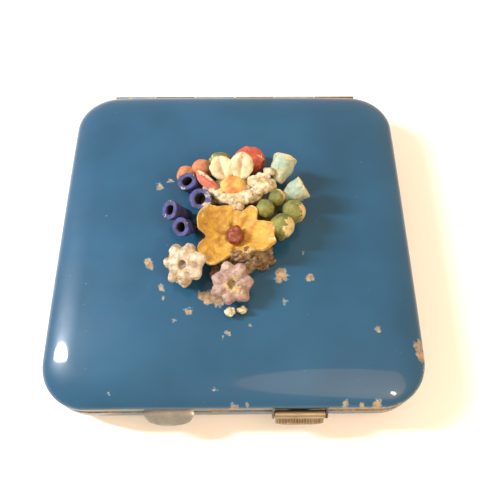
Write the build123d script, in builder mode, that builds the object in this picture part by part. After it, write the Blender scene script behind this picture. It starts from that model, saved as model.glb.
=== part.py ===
"""Double powder compact: a square enamelled case with a hinged lid, a hinged inner lid and a modelled posy.

Millimetres, +Z up. The origin is the centre of the flat underside that the compact rests on.
The hinge runs along X at the back (+Y), and the two thumb catches are at the front (-Y).
"""

from build123d import *

import os
from math import atan2, degrees

# ---- Case: driving dimensions --------------------------------------------------------------
case_width = 70.0
case_depth = 70.0
corner_radius = 8.6
sheet = 0.5  # wall of every stamped shell
base_height = 6.6  # top edge of the lower shell
base_edge_radius = 4.4
rim_gap = 0.2  # daylight between one closed leaf and the next
flange_height = 0.5  # bright band of the lower frame
inner_lid_height = 1.5
lid_height = 5.2  # from the lid's edge to its crown
crown_radius = 900.0
shoulder_radius = 3.6

# ---- Insets from the case outline, and fits ------------------------------------------------
flange_inset = 0.25
inner_lid_inset = 0.3
slip = 0.1  # clearance of a piece dropped into a shell
running = 0.04  # radial clearance of a pin in its knuckles

# ---- Hinge ---------------------------------------------------------------------------------
hinge_length = 55.4
knuckle_count = 6
knuckle_gap = 0.2
knuckle_radius = 0.9
hinge_pin_radius = 0.4
hinge_offset = 0.7  # axis behind the case's back edge
hinge_drop = 0.5  # axis below the lid's edge
hinge_sheet = 0.35
hinge_strip_height = 1.7
swing_clearance = 0.12  # air round a turning barrel

# ---- Thumb catches -------------------------------------------------------------------------
catch_offset = 11.7  # each catch's distance from the middle of the front
catch_width = 9.0
catch_tip_width = 6.4
catch_corner = 1.2
catch_reach = 2.3  # how far the middle of a thumb lip's tip stands out past the front
catch_drop = 2.7  # how far that tip hangs below the lid's edge
catch_sheet = 0.4
catch_barrel_radius = 0.72
catch_pin_radius = 0.3
catch_axis_out = 0.75  # pin's distance past the front
catch_axis_drop = 0.6  # pin's distance below the lid's edge
ear_thickness = 0.35
ear_gap = 0.1
spring_wall = 0.12
spring_length = 5.0
nose_gap = 0.1  # between the catch's nose and the lower frame's edge

# ---- What the compact holds ----------------------------------------------------------------
well_inset = 5.0  # powder well's outside from the case outline
well_sheet = 0.35
well_top = 5.75
powder_depth = 2.2
puff_diameter = 48.0
puff_thickness = 2.0
soft_gap = 0.2  # air round a loose puff
rouge_diameter = 26.0
rouge_flange = 1.0
rouge_sheet = 0.3
rouge_cup_depth = 1.6
rouge_depth = 1.3
rouge_place = (0.0, -6.0)
rouge_puff_thickness = 0.8
mirror_inset = 2.6
mirror_thickness = 1.2
mirror_card = 0.6
mirror_sheet = 0.4
mirror_sight_inset = 7.0  # edge of the visible glass
mirror_frame_height = 0.9

# ---- Posy: flower heads as (x, y, height above the lid's crown), and the way each one faces --
bell_mouth_radius = 1.85
bell_root_radius = 0.85
bell_bore_radius = 0.95
bell_bore_depth = 3.2
bell_length = 5.0
bells = [
    ((-9.0, 6.0, 5.9), (-0.25, -0.10, 0.96)),
    ((-6.3, 1.6, 6.6), (-0.20, -0.30, 0.93)),
    ((-12.2, 0.2, 4.6), (-0.65, -0.20, 0.73)),
    ((-9.9, -3.7, 5.0), (-0.40, -0.45, 0.80)),
]
berry_stem_radius = 0.55
berries = [
    ((6.0, 0.1, 5.4), 1.6),
    ((11.5, 0.3, 4.2), 2.05),
    ((9.1, -3.3, 4.9), 2.05),
    ((8.2, 2.9, 5.0), 1.5),
]
tube_length = 3.9
tube_bore_share = 0.55
tube_bore_depth = 2.4
tube_stem_radius = 0.8
tubes = [
    ((10.4, 12.4, 5.4), (0.33, 0.92, 0.22), 2.1),
    ((14.0, 5.9, 5.2), (0.84, 0.46, 0.28), 1.8),
]
floret_lobes = 7
floret_ring_radius = 2.6
floret_lobe_radius = 1.35
floret_thickness = 2.4
floret_bore_radius = 0.6
floret_stalk_radius = 1.3
florets = [
    ((-9.6, -11.2, 4.4), (-0.28, -0.36, 0.89)),
    ((-0.4, -14.8, 4.4), (0.06, -0.48, 0.87)),
]
head_stem_radius = 1.6
daisy_place = (-0.2, 4.6, 6.6)
daisy_facing = (0.02, -0.20, 0.98)
daisy_petals = [(155, 7.2), (113, 6.8), (76, 7.0), (44, 5.6), (13, 7.0), (-50, 4.0), (-95, 3.9), (-145, 4.2)]
daisy_petal_width = 2.7
daisy_disc_radius = 2.9
daisy_thickness = 1.1
daisy_eye_radius = 2.3
daisy_eye_height = 1.3
yellow_place = (0.4, -5.2, 3.9)
yellow_facing = (0.03, -0.22, 0.97)
yellow_petals_spread = [(-12, 6.7), (88, 5.6), (172, 6.7), (236, 5.5), (300, 4.6)]
yellow_petal_width = 4.4
yellow_petal_rise = 20.0
yellow_disc_radius = 2.6
yellow_thickness = 0.9
yellow_eye_radius = 1.3
yellow_eye_height = 1.2
eye_gap = 0.15  # between a flower's eye and petals that rise round it
poppy = ((3.3, 13.2, 3.1), 2.5)
green_ball = ((-2.6, 13.1, 2.9), 1.7)
orange_balls = [((-6.6, 11.3, 3.1), 1.9), ((-10.2, 10.6, 2.2), 1.4)]
ball_stem_radius = 0.8
crumbs = [((-0.6, -18.9), 0.9), ((1.6, -18.6), 0.7)]
mound_place = (0.5, -1.5)
mound_foot = (10.5, 14.0)
mound_crest = (7.5, 11.0)
mound_height = 3.0
mound_edge_radius = 0.8
bedding = 1.0  # how far stems start below the crown before they are trimmed to it

# ---- Heights and places worked out from the above ------------------------------------------
front = -case_depth / 2
back = case_depth / 2
flange_top = base_height + flange_height
inner_lid_z = flange_top + rim_gap
inner_lid_top = inner_lid_z + inner_lid_height
lid_rim = inner_lid_top + rim_gap
lid_top = lid_rim + lid_height
hinge_y = back + hinge_offset
hinge_z = lid_rim - hinge_drop
knuckle_bore = hinge_pin_radius + running
catch_y = front - catch_axis_out
catch_z = lid_rim - catch_axis_drop
tip_y = front - catch_reach
tip_z = lid_rim - catch_drop
frame_wall_inset = sheet + slip
frame_inner_inset = frame_wall_inset + sheet
powder_z = sheet + well_sheet
puff_z = powder_z + powder_depth + soft_gap
inner_plate_top = inner_lid_z + sheet
rouge_floor = inner_plate_top - rouge_cup_depth
rouge_top = rouge_floor + rouge_sheet + rouge_depth
mirror_frame_z = lid_rim + slip
mirror_z = mirror_frame_z + mirror_sheet
lid_knuckles = [0, 2, 4]
base_knuckles = [1, 5]
inner_knuckles = [3]

os.makedirs("parts", exist_ok=True)


def save(piece, name):
    """Labels a finished piece and writes it under its node's name."""
    piece.part.label = name
    export_step(piece.part, f"parts/{name}.step")


def outline(inset):
    """Draws the case's rounded square, brought in by inset, in the open sketch."""
    return RectangleRounded(case_width - 2 * inset, case_depth - 2 * inset, corner_radius - inset)


def bent_strip(points, thickness):
    """Draws sheet metal seen edge-on, bent through the given points, in the open sketch."""
    for start, end in zip(points, points[1:]):
        run = Vector(*end) - Vector(*start)
        with Locations(((start[0] + end[0]) / 2, (start[1] + end[1]) / 2)):
            SlotCenterToCenter(run.length, thickness, rotation=degrees(atan2(run.Y, run.X)))


def slab(low, high, outer, inner=None):
    """Flat layer in the case outline's form between two heights, with an opening if inner is given."""
    with BuildPart() as layer:
        with BuildSketch(Plane.XY.offset(low)):
            outline(outer)
        extrude(amount=high - low)
        if inner is not None:
            with BuildSketch(Plane.XY.offset(low)):
                outline(inner)
            extrude(amount=high - low, mode=Mode.SUBTRACT)
    return layer.part


def lid_pillow(inset):
    """Solid of the lid's cushion form, brought in by inset on every side but the open one."""
    with BuildPart() as pillow:
        with BuildSketch(Plane.XY.offset(lid_rim)):
            outline(inset)
        extrude(amount=lid_height)
        with Locations((0, 0, lid_top - crown_radius)):
            Sphere(crown_radius - inset, mode=Mode.INTERSECT)
        crown = pillow.faces().sort_by(Axis.Z)[-1]
        fillet(crown.edges(), shoulder_radius - inset)
    return pillow.part


def base_pan(inset):
    """Solid of the lower shell's form, brought in by inset, flat underneath."""
    with BuildPart() as pan:
        with BuildSketch(Plane.XY.offset(inset)):
            outline(inset)
        extrude(amount=base_height - inset)
        fillet(pan.faces().sort_by(Axis.Z)[0].edges(), base_edge_radius - inset)
    return pan.part


def knuckle_span(index):
    """Start and length along X of one knuckle, counted from the left."""
    pitch = hinge_length / knuckle_count
    return -hinge_length / 2 + index * pitch + knuckle_gap / 2, pitch - knuckle_gap


def barrels(indices, radius, spare=0.0):
    """Round bars in the places of the given knuckles, each longer by spare at both ends."""
    with BuildPart() as bars:
        for index in indices:
            start, length = knuckle_span(index)
            with BuildSketch(Plane.YZ.offset(start - spare)):
                with Locations((hinge_y, hinge_z)):
                    Circle(radius)
            extrude(amount=length + 2 * spare)
    return bars.part


def webs(indices, low, high):
    """Strips that join the given knuckles to their leaf, between two (y, z) corners."""
    with BuildPart() as strips:
        for index in indices:
            start, length = knuckle_span(index)
            with BuildSketch(Plane.YZ.offset(start)):
                with Locations(((low[0] + high[0]) / 2, (low[1] + high[1]) / 2)):
                    Rectangle(high[0] - low[0], high[1] - low[1])
            extrude(amount=length)
    return strips.part


def hinge_rod(radius):
    """Round bar along the whole hinge."""
    with BuildPart() as rod:
        with BuildSketch(Plane.YZ.offset(-hinge_length / 2)):
            with Locations((hinge_y, hinge_z)):
                Circle(radius)
        extrude(amount=hinge_length)
    return rod.part


def disc(place, low, high, radius, bore=None):
    """Round layer between two heights, with a hole if bore is given."""
    with BuildPart() as layer:
        with BuildSketch(Plane.XY.offset(low)):
            with Locations(place):
                Circle(radius)
                if bore is not None:
                    Circle(bore, mode=Mode.SUBTRACT)
        extrude(amount=high - low)
    return layer.part


# ---- Lower shell, its frame and its half of the hinge ---------------------------------------
with BuildPart() as base_shell:
    add(base_pan(0))
    add(base_pan(sheet), mode=Mode.SUBTRACT)
save(base_shell, "base_shell")

with BuildPart() as base_frame:
    add(slab(base_height, flange_top, flange_inset, frame_inner_inset))
    add(slab(base_edge_radius, base_height, frame_wall_inset, frame_inner_inset))
save(base_frame, "base_frame")

strip_low = base_height - hinge_strip_height
with BuildPart() as base_hinge_leaf:
    with BuildSketch(Plane.YZ.offset(-hinge_length / 2)):
        with Locations((back + hinge_sheet / 2, (strip_low + base_height) / 2)):
            Rectangle(hinge_sheet, hinge_strip_height)
    extrude(amount=hinge_length)
    add(webs(base_knuckles, (back, strip_low), (back + hinge_sheet, hinge_z)))
    add(barrels(base_knuckles, knuckle_radius))
    add(hinge_rod(knuckle_bore), mode=Mode.SUBTRACT)
save(base_hinge_leaf, "base_hinge_leaf")

with BuildPart() as hinge_pin:
    add(hinge_rod(hinge_pin_radius))
save(hinge_pin, "hinge_pin")

# ---- Powder well and what lies in it --------------------------------------------------------
well_flange_inset = frame_inner_inset + slip
with BuildPart() as powder_well:
    add(slab(sheet, well_top, well_inset, well_inset + well_sheet))
    add(slab(sheet, powder_z, well_inset))
    add(slab(well_top - well_sheet, well_top, well_flange_inset, well_inset + well_sheet))
save(powder_well, "powder_well")

with BuildPart() as powder_cake:
    add(slab(powder_z, powder_z + powder_depth, well_inset + well_sheet + slip))
save(powder_cake, "powder_cake")

with BuildPart() as powder_puff:
    add(disc((0, 0), puff_z, puff_z + puff_thickness, puff_diameter / 2))
    fillet(powder_puff.edges().filter_by(GeomType.CIRCLE), puff_thickness * 0.45)
save(powder_puff, "powder_puff")

# ---- Inner lid with its thumb tab and the rouge ---------------------------------------------
rouge_radius = rouge_diameter / 2
with BuildPart() as inner_lid:
    add(slab(inner_lid_z, inner_plate_top, inner_lid_inset))
    add(slab(inner_plate_top, inner_lid_top, inner_lid_inset, inner_lid_inset + sheet))
    add(disc(rouge_place, inner_lid_z, inner_plate_top, rouge_radius + slip), mode=Mode.SUBTRACT)
    add(webs(inner_knuckles, (back - inner_lid_inset - sheet, hinge_z - sheet / 2),
             (hinge_y, hinge_z + sheet / 2)))
    add(barrels(inner_knuckles, knuckle_radius))
    add(hinge_rod(knuckle_bore), mode=Mode.SUBTRACT)
save(inner_lid, "inner_lid")

tab_y = front + inner_lid_inset - catch_sheet / 2
tab_low = inner_lid_z + catch_sheet / 2
tab_high = inner_lid_top - catch_sheet
lip_front = [
    (-catch_width / 2, lid_rim),
    (-catch_width / 2, inner_lid_z),
    (-catch_tip_width / 2, tip_z - catch_sheet),
    (catch_tip_width / 2, tip_z - catch_sheet),
    (catch_width / 2, inner_lid_z),
    (catch_width / 2, lid_rim + catch_sheet),
    (-catch_width / 2, lid_rim + catch_sheet),
]


def lip_outline(x):
    """Block in the front view of a thumb lip, wide above and narrowing to rounded corners at the tip."""
    with BuildPart() as block:
        with BuildSketch(Plane.XZ.offset(-front - catch_sheet)) as view:
            with BuildLine():
                Polyline(*[(x + across, height) for across, height in lip_front], close=True)
            make_face()
            fillet(view.vertices().group_by(Axis.Y)[0], catch_corner)
        extrude(amount=2 * catch_reach + catch_sheet)
    return block.part


with BuildPart() as inner_tab:
    with BuildSketch(Plane.YZ.offset(-catch_offset - catch_width / 2)):
        bent_strip([(tab_y, tab_high), (tab_y, tab_low), (tip_y, tip_z)], catch_sheet)
    extrude(amount=catch_width)
    add(lip_outline(-catch_offset), mode=Mode.INTERSECT)
save(inner_tab, "inner_tab")

with BuildPart() as rouge_pan:
    add(disc(rouge_place, inner_plate_top, inner_plate_top + rouge_sheet, rouge_radius + rouge_flange,
             rouge_radius - rouge_sheet))
    add(disc(rouge_place, rouge_floor, inner_plate_top, rouge_radius, rouge_radius - rouge_sheet))
    add(disc(rouge_place, rouge_floor, rouge_floor + rouge_sheet, rouge_radius))
save(rouge_pan, "rouge_pan")

rouge_fill_radius = rouge_radius - rouge_sheet - slip
with BuildPart() as rouge_cake:
    add(disc(rouge_place, rouge_floor + rouge_sheet, rouge_top, rouge_fill_radius))
save(rouge_cake, "rouge_cake")

with BuildPart() as rouge_puff:
    add(disc(rouge_place, rouge_top + soft_gap, rouge_top + soft_gap + rouge_puff_thickness,
             rouge_fill_radius - soft_gap))
    fillet(rouge_puff.edges().filter_by(GeomType.CIRCLE), rouge_puff_thickness * 0.4)
save(rouge_puff, "rouge_puff")

# ---- Lid, with its three knuckles and the two ears of its catch -----------------------------
pin_half = catch_width / 2 + ear_gap + ear_thickness


def ear(x):
    """One ear that hangs from the lid's front wall and holds the catch pin; x is its left face."""
    with BuildPart() as lug:
        with BuildSketch(Plane.YZ.offset(x)):
            with Locations((catch_y, catch_z)):
                Circle(catch_barrel_radius)
            with Locations((catch_y, (catch_z + lid_rim + sheet) / 2)):
                Rectangle(2 * catch_barrel_radius, lid_rim + sheet - catch_z)
            with Locations(((catch_y + front + sheet / 2) / 2, lid_rim + sheet / 2)):
                Rectangle(front + sheet / 2 - catch_y, sheet)
            with Locations((catch_y, catch_z)):
                Circle(catch_pin_radius, mode=Mode.SUBTRACT)
        extrude(amount=ear_thickness)
    return lug.part


with BuildPart() as lid_shell:
    add(lid_pillow(0))
    add(lid_pillow(sheet), mode=Mode.SUBTRACT)
    add(webs(lid_knuckles, (back - sheet, lid_rim), (hinge_y, hinge_z + knuckle_radius)))
    add(barrels(lid_knuckles, knuckle_radius))
    add(hinge_rod(knuckle_bore), mode=Mode.SUBTRACT)
    add(barrels(base_knuckles + inner_knuckles, knuckle_radius + swing_clearance, knuckle_gap),
        mode=Mode.SUBTRACT)
    add(ear(catch_offset - pin_half))
    add(ear(catch_offset + pin_half - ear_thickness))
save(lid_shell, "lid_shell")

# ---- Lid catch, its pin and its spring ------------------------------------------------------
nose_y = front - catch_sheet
nose_tip = (front + flange_inset - nose_gap - catch_sheet / 2, base_height + slip + catch_sheet / 2)
spring_bore = catch_pin_radius + running + spring_wall
with BuildPart() as lid_catch:
    with BuildSketch(Plane.YZ.offset(catch_offset - catch_width / 2)):
        with Locations((catch_y, catch_z)):
            Circle(catch_barrel_radius)
        bent_strip([(catch_y - catch_sheet / 2, catch_z), (tip_y, tip_z)], catch_sheet)
        bent_strip([(nose_y, catch_z - catch_sheet), (nose_y, nose_tip[1]), nose_tip], catch_sheet)
        with Locations((catch_y, catch_z)):
            Circle(catch_pin_radius + running, mode=Mode.SUBTRACT)
    extrude(amount=catch_width)
    with BuildSketch(Plane.YZ.offset(catch_offset - spring_length / 2 - slip)):
        with Locations((catch_y, catch_z)):
            Circle(spring_bore + running)
    extrude(amount=spring_length + 2 * slip, mode=Mode.SUBTRACT)
    add(lip_outline(catch_offset), mode=Mode.INTERSECT)
save(lid_catch, "lid_catch")

with BuildPart() as catch_pin:
    with BuildSketch(Plane.YZ.offset(catch_offset - pin_half)):
        with Locations((catch_y, catch_z)):
            Circle(catch_pin_radius)
    extrude(amount=2 * pin_half)
save(catch_pin, "catch_pin")

with BuildPart() as catch_spring:
    with BuildSketch(Plane.YZ.offset(catch_offset - spring_length / 2)):
        with Locations((catch_y, catch_z)):
            Circle(spring_bore)
            Circle(catch_pin_radius + running, mode=Mode.SUBTRACT)
    extrude(amount=spring_length)
save(catch_spring, "catch_spring")

# ---- Mirror in the lid ----------------------------------------------------------------------
with BuildPart() as mirror_frame:
    add(slab(mirror_frame_z, mirror_z, frame_wall_inset, mirror_sight_inset))
    add(slab(mirror_z, mirror_frame_z + mirror_frame_height, frame_wall_inset,
             frame_wall_inset + mirror_sheet))
save(mirror_frame, "mirror_frame")

with BuildPart() as lid_mirror:
    add(slab(mirror_z, mirror_z + mirror_thickness, mirror_inset))
save(lid_mirror, "lid_mirror")

with BuildPart() as mirror_backing:
    add(slab(mirror_z + mirror_thickness, mirror_z + mirror_thickness + mirror_card, mirror_inset))
save(mirror_backing, "mirror_backing")


# ---- Posy on the lid ------------------------------------------------------------------------
def head_plane(place, facing):
    """Plane across the front of a flower head, at its height above the crown, its X level."""
    level = Vector(0, 1, 0).cross(Vector(*facing))
    return Plane(origin=(place[0], place[1], lid_top + place[2]), x_dir=level, z_dir=facing)


def stem(place, top, radius):
    """Upright stem from below the crown to a height above it; the crown's form trims its foot."""
    with BuildPart() as rod:
        with BuildSketch(Plane.XY.offset(lid_top - bedding)):
            with Locations(place):
                Circle(radius)
        extrude(amount=bedding + top)
        with Locations((0, 0, lid_top - crown_radius)):
            Sphere(crown_radius, mode=Mode.SUBTRACT)
    return rod.part


def ball_flower(place, radius, stem_radius):
    """Round bud or berry on an upright stem."""
    with BuildPart() as bud:
        with Locations((place[0], place[1], lid_top + place[2])):
            Sphere(radius)
        add(stem(place[:2], place[2], stem_radius))
    return bud.part


def bell_flower(place, facing):
    """Bell that widens from its root to its mouth, with a bore down from the mouth."""
    mouth = head_plane(place, facing)
    with BuildPart() as bell:
        with BuildSketch(mouth.offset(-bell_length)):
            Circle(bell_root_radius)
        with BuildSketch(mouth):
            Circle(bell_mouth_radius)
        loft()
        with BuildSketch(mouth):
            Circle(bell_bore_radius)
        extrude(amount=-bell_bore_depth, mode=Mode.SUBTRACT)
    return bell.part


def tube_flower(place, facing, radius):
    """Thick round tube, open at its outer end, on an upright stem under its inner end."""
    mouth = head_plane(place, facing)
    root = mouth.offset(-tube_length + radius / 2).origin
    with BuildPart() as tube:
        with BuildSketch(mouth):
            Circle(radius)
        extrude(amount=-tube_length)
        add(stem((root.X, root.Y), root.Z - lid_top, tube_stem_radius))
        with BuildSketch(mouth):
            Circle(radius * tube_bore_share)
        extrude(amount=-tube_bore_depth, mode=Mode.SUBTRACT)
    return tube.part


def floret(place, facing):
    """Thick ring of rounded lobes with a small hole in its middle, on a stalk."""
    face = head_plane(place, facing)
    root = face.offset(-floret_thickness / 2).origin
    with BuildPart() as head:
        with BuildSketch(face):
            Circle(floret_ring_radius)
            with PolarLocations(floret_ring_radius, floret_lobes):
                Circle(floret_lobe_radius)
        extrude(amount=-floret_thickness)
        add(stem((root.X, root.Y), root.Z - lid_top, floret_stalk_radius))
        with BuildSketch(face):
            Circle(floret_bore_radius)
        extrude(amount=-floret_thickness / 2, mode=Mode.SUBTRACT)
    return head.part


def petal_flower(plane, petals, start, width, thickness, rise, disc_radius):
    """Head of elliptic petals, each given as (angle, reach), that rise outwards round a disc on a stem."""
    with BuildPart() as head:
        with BuildSketch(plane):
            Circle(disc_radius)
        extrude(amount=-thickness)
        for angle, reach in petals:
            turned = plane.location * Location((0, 0, 0), (0, 0, angle))
            with BuildSketch(Plane(turned * Location((0, 0, 0), (0, -rise, 0)))):
                with Locations(((start + reach) / 2, 0)):
                    Ellipse((reach - start) / 2, width / 2)
            extrude(amount=-thickness)
        root = plane.offset(-thickness / 2).origin
        add(stem((root.X, root.Y), root.Z - lid_top, head_stem_radius))
    return head.part


def eye(plane, radius, height):
    """Domed eye that sits on a flower's disc."""
    with BuildPart() as dome:
        with BuildSketch(plane):
            Circle(radius)
        extrude(amount=height)
        fillet(dome.edges().filter_by(GeomType.CIRCLE).sort_by(Axis.Z)[-1], height * 0.8)
    return dome.part


posy = {}
daisy_plane = head_plane(daisy_place, daisy_facing)
posy["daisy_petals"] = petal_flower(daisy_plane, daisy_petals, 0.0, daisy_petal_width, daisy_thickness,
                                    0.0, daisy_disc_radius)
posy["daisy_centre"] = eye(daisy_plane, daisy_eye_radius, daisy_eye_height)
yellow_plane = head_plane(yellow_place, yellow_facing)
posy["yellow_petals"] = petal_flower(yellow_plane, yellow_petals_spread, yellow_eye_radius + eye_gap,
                                     yellow_petal_width, yellow_thickness, yellow_petal_rise,
                                     yellow_disc_radius)
posy["yellow_centre"] = eye(yellow_plane, yellow_eye_radius, yellow_eye_height)
for number, (place, facing) in enumerate(bells, 1):
    posy[f"bell_flower_{number}"] = bell_flower(place, facing)
for number, (place, radius) in enumerate(berries, 1):
    posy[f"berry_{number}"] = ball_flower(place, radius, berry_stem_radius)
for number, (place, facing, radius) in enumerate(tubes, 1):
    posy[f"tube_flower_{number}"] = tube_flower(place, facing, radius)
for number, (place, facing) in enumerate(florets, 1):
    posy[f"floret_{number}"] = floret(place, facing)
posy["red_bud"] = ball_flower(*poppy, ball_stem_radius)
posy["green_bud"] = ball_flower(*green_ball, ball_stem_radius)
for number, (place, radius) in enumerate(orange_balls, 1):
    posy[f"orange_bud_{number}"] = ball_flower(place, radius, ball_stem_radius)

for name, flower in posy.items():
    with BuildPart() as bloom:
        add(flower)
    save(bloom, name)

with BuildPart() as plaster_mound:
    with BuildSketch(Plane.XY.offset(lid_top - bedding)):
        with Locations(mound_place):
            Ellipse(*mound_foot)
    with BuildSketch(Plane.XY.offset(lid_top + mound_height)):
        with Locations(mound_place):
            Ellipse(*mound_crest)
    loft()
    fillet(plaster_mound.faces().sort_by(Axis.Z)[-1].edges(), mound_edge_radius)
    with Locations((0, 0, lid_top - crown_radius)):
        Sphere(crown_radius, mode=Mode.SUBTRACT)
    for flower in posy.values():
        add(flower, mode=Mode.SUBTRACT)
save(plaster_mound, "plaster_mound")

with BuildPart() as paste_crumbs:
    for place, radius in crumbs:
        with Locations((*place, lid_top)):
            Sphere(radius)
    with Locations((0, 0, lid_top - crown_radius)):
        Sphere(crown_radius, mode=Mode.SUBTRACT)
save(paste_crumbs, "paste_crumbs")
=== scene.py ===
"""Looks of a square enamelled double powder compact with a posy of painted paste flowers on its lid.

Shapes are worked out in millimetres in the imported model's frame and written to meshes in metres.
"""

from math import cos, pi, radians, sin

import bmesh
import bpy
import numpy as np
from bpy.props import FloatProperty, FloatVectorProperty, IntProperty, PointerProperty
from mathutils import Matrix, Vector


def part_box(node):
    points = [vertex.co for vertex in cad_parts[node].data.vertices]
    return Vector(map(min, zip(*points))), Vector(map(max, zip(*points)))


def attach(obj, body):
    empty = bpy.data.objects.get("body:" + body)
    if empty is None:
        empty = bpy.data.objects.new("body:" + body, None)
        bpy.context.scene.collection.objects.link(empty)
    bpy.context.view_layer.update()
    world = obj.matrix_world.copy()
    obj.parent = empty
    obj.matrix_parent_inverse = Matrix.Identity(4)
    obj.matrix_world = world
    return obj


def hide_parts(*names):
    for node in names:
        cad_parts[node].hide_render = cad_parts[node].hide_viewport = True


bl_info = {
    "name": "Enamelled Powder Compact",
    "version": (1, 0, 0),
    "blender": (4, 5, 0),
    "location": "3D View > Sidebar > Compact",
    "description": "Builds the shells, fittings and posy of a double powder compact on its frame",
    "category": "Add Mesh",
}

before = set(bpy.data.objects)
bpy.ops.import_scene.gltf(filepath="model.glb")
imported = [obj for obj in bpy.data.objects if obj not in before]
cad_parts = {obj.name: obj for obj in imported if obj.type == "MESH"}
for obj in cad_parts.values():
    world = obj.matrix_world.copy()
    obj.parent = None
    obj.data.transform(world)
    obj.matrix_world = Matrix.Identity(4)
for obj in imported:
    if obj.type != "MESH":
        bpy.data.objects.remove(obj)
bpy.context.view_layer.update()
MM = 0.001


def box_mm(node):
    """Lowest and highest corner of a CAD node at rest, in millimetres."""
    low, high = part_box(node)
    return np.array(low) / MM, np.array(high) / MM


def linear(hex_colour):
    """Linear colour with alpha from an sRGB hex string."""
    parts = [int(hex_colour[i:i + 2], 16) / 255 for i in (0, 2, 4)]
    return tuple(c / 12.92 if c <= 0.04045 else ((c + 0.055) / 1.055) ** 2.4 for c in parts) + (1.0,)


HALF = box_mm("base_shell")[1][0]
BASE_TOP = box_mm("base_shell")[1][2]
FLANGE_TOP = box_mm("base_frame")[1][2]
INNER_LOW, INNER_TOP = (corner[2] for corner in box_mm("inner_lid"))
RIM = box_mm("mirror_frame")[0][2] - 0.1  # lower edge of the lid's wall
CROWN = box_mm("lid_shell")[1][2]
PIN_LOW, PIN_HIGH = box_mm("hinge_pin")
HINGE = (PIN_LOW + PIN_HIGH) / 2
HINGE_HALF = 27.7  # half the length of the row of knuckles
CATCH = sum(box_mm("catch_pin")) / 2
CORE = 8.0  # inset of the innermost ring of a flat face
HAND_MADE = 60  # widest angle in degrees that is shaded smooth on modelled paste
COLOURS = {"output": 2, "data_type": "RGBA"}  # settings of a Mix node between two colours


# ---- Sizes and colours that a user would change ------------------------------------------------
class CompactCase(bpy.types.PropertyGroup):
    """Sizes of the case."""

    corner: FloatProperty(name="Corner", description="Plan radius of the case", default=8.6 * MM,
                          unit="LENGTH")
    wall: FloatProperty(name="Sheet", description="Thickness of the shells", default=0.5 * MM,
                        unit="LENGTH")
    shoulder: FloatProperty(name="Shoulder", description="Width over which the lid's top turns down",
                            default=6.5 * MM, unit="LENGTH")
    shoulder_drop: FloatProperty(name="Shoulder drop", description="Height over which it turns down",
                                 default=2.2 * MM, unit="LENGTH")
    heel: FloatProperty(name="Heel", description="Radius under the lower shell", default=4.4 * MM,
                        unit="LENGTH")
    crown_radius: FloatProperty(name="Crown", description="Radius of the domed top", default=0.3,
                                unit="LENGTH")
    knuckles: IntProperty(name="Knuckles", description="Number of hinge knuckles", default=6)
    enamel: FloatVectorProperty(name="Enamel", description="Blue of the case", subtype="COLOR",
                                default=linear("19445f")[:3])
    enamel_rubbed: FloatVectorProperty(name="Rubbed enamel", description="Blue where it is worn",
                                       subtype="COLOR", default=linear("1e4c6a")[:3])


class CompactPosy(bpy.types.PropertyGroup):
    """Sizes of the flowers."""

    bell_mouth: FloatProperty(name="Bell mouth", description="Radius of a bell's mouth", default=1.95 * MM,
                              unit="LENGTH")
    bell_length: FloatProperty(name="Bell length", description="Length of a bell", default=5.4 * MM,
                               unit="LENGTH")
    floret_reach: FloatProperty(name="Floret", description="Radius over a floret's lobes", default=4.05 * MM,
                                unit="LENGTH")
    floret_lobes: IntProperty(name="Floret lobes", description="Lobes round a floret", default=7)
    eye: FloatProperty(name="Daisy eye", description="Radius of the daisy's eye", default=2.5 * MM,
                       unit="LENGTH")


# ---- Surfaces ----------------------------------------------------------------------------------
def outline(inset, height=0.0):
    """Rounded square brought in by inset, counter-clockwise: four arcs about fixed corner centres
    joined by straight runs, with stations at the ends of the hinge's knuckles."""
    case = bpy.context.scene.compact_case
    centre = HALF - case.corner / MM
    turn = np.linspace(0, pi / 2, 16)
    arc = (HALF - centre - inset) * np.column_stack([np.cos(turn), np.sin(turn)]) + centre
    ends = np.linspace(-HINGE_HALF, HINGE_HALF, case.knuckles + 1)[1:-1]
    side = np.concatenate([np.linspace(-centre, centre, 36)[1:-1], ends - 0.15, ends + 0.15])
    side = np.sort(side)[::-1]
    quarter = np.concatenate([arc, np.column_stack([side, np.full(len(side), HALF - inset)])])
    turns = [quarter @ np.array([[cos(a), sin(a)], [-sin(a), cos(a)]]) for a in np.arange(4) * pi / 2]
    flat = np.concatenate(turns)
    return np.column_stack([flat, np.full(len(flat), height)])


def skin(rings, capped=True):
    """Closed surface over a stack of rings, shape (rings, points, 3): quads between neighbours, then a
    fan to a pole at each end, or, uncapped, quads from the last ring back to the first."""
    rows, columns, _ = rings.shape
    here = np.arange(rows * columns).reshape(rows, columns)
    there = np.roll(here, -1, axis=1)
    above = np.roll(here, -1, axis=0)
    quads = np.stack([here, there, np.roll(above, -1, axis=1), above], axis=2)
    quads = quads[: rows - 1 if capped else rows].reshape(-1, 4).tolist()
    points = rings.reshape(-1, 3)
    if not capped:
        return points, quads
    low = np.column_stack([there[0], here[0], np.full(columns, len(points))]).tolist()
    high = np.column_stack([here[-1], there[-1], np.full(columns, len(points) + 1)]).tolist()
    poles = [rings[0].mean(axis=0), rings[-1].mean(axis=0)]
    return np.concatenate([points, poles]), quads + low + high


def swept(profile, capped=False):
    """The case's outline carried along a profile of (inset, height) points; capped, it is a solid."""
    return skin(np.stack([outline(inset, height) for inset, height in profile]), capped)


def extruded(profile, start, end):
    """Prism along X from start to end with a closed outline of (y, z) points: a ring at each end and
    one many-sided face on each."""
    loop = np.array(profile)
    sides = [np.column_stack([np.full(len(loop), x), loop]) for x in (start, end)]
    points, quads = skin(np.stack(sides))
    caps = [list(range(len(loop))), list(range(2 * len(loop) - 1, len(loop) - 1, -1))]
    return points[:-2], quads[:len(loop)] + caps


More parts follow.
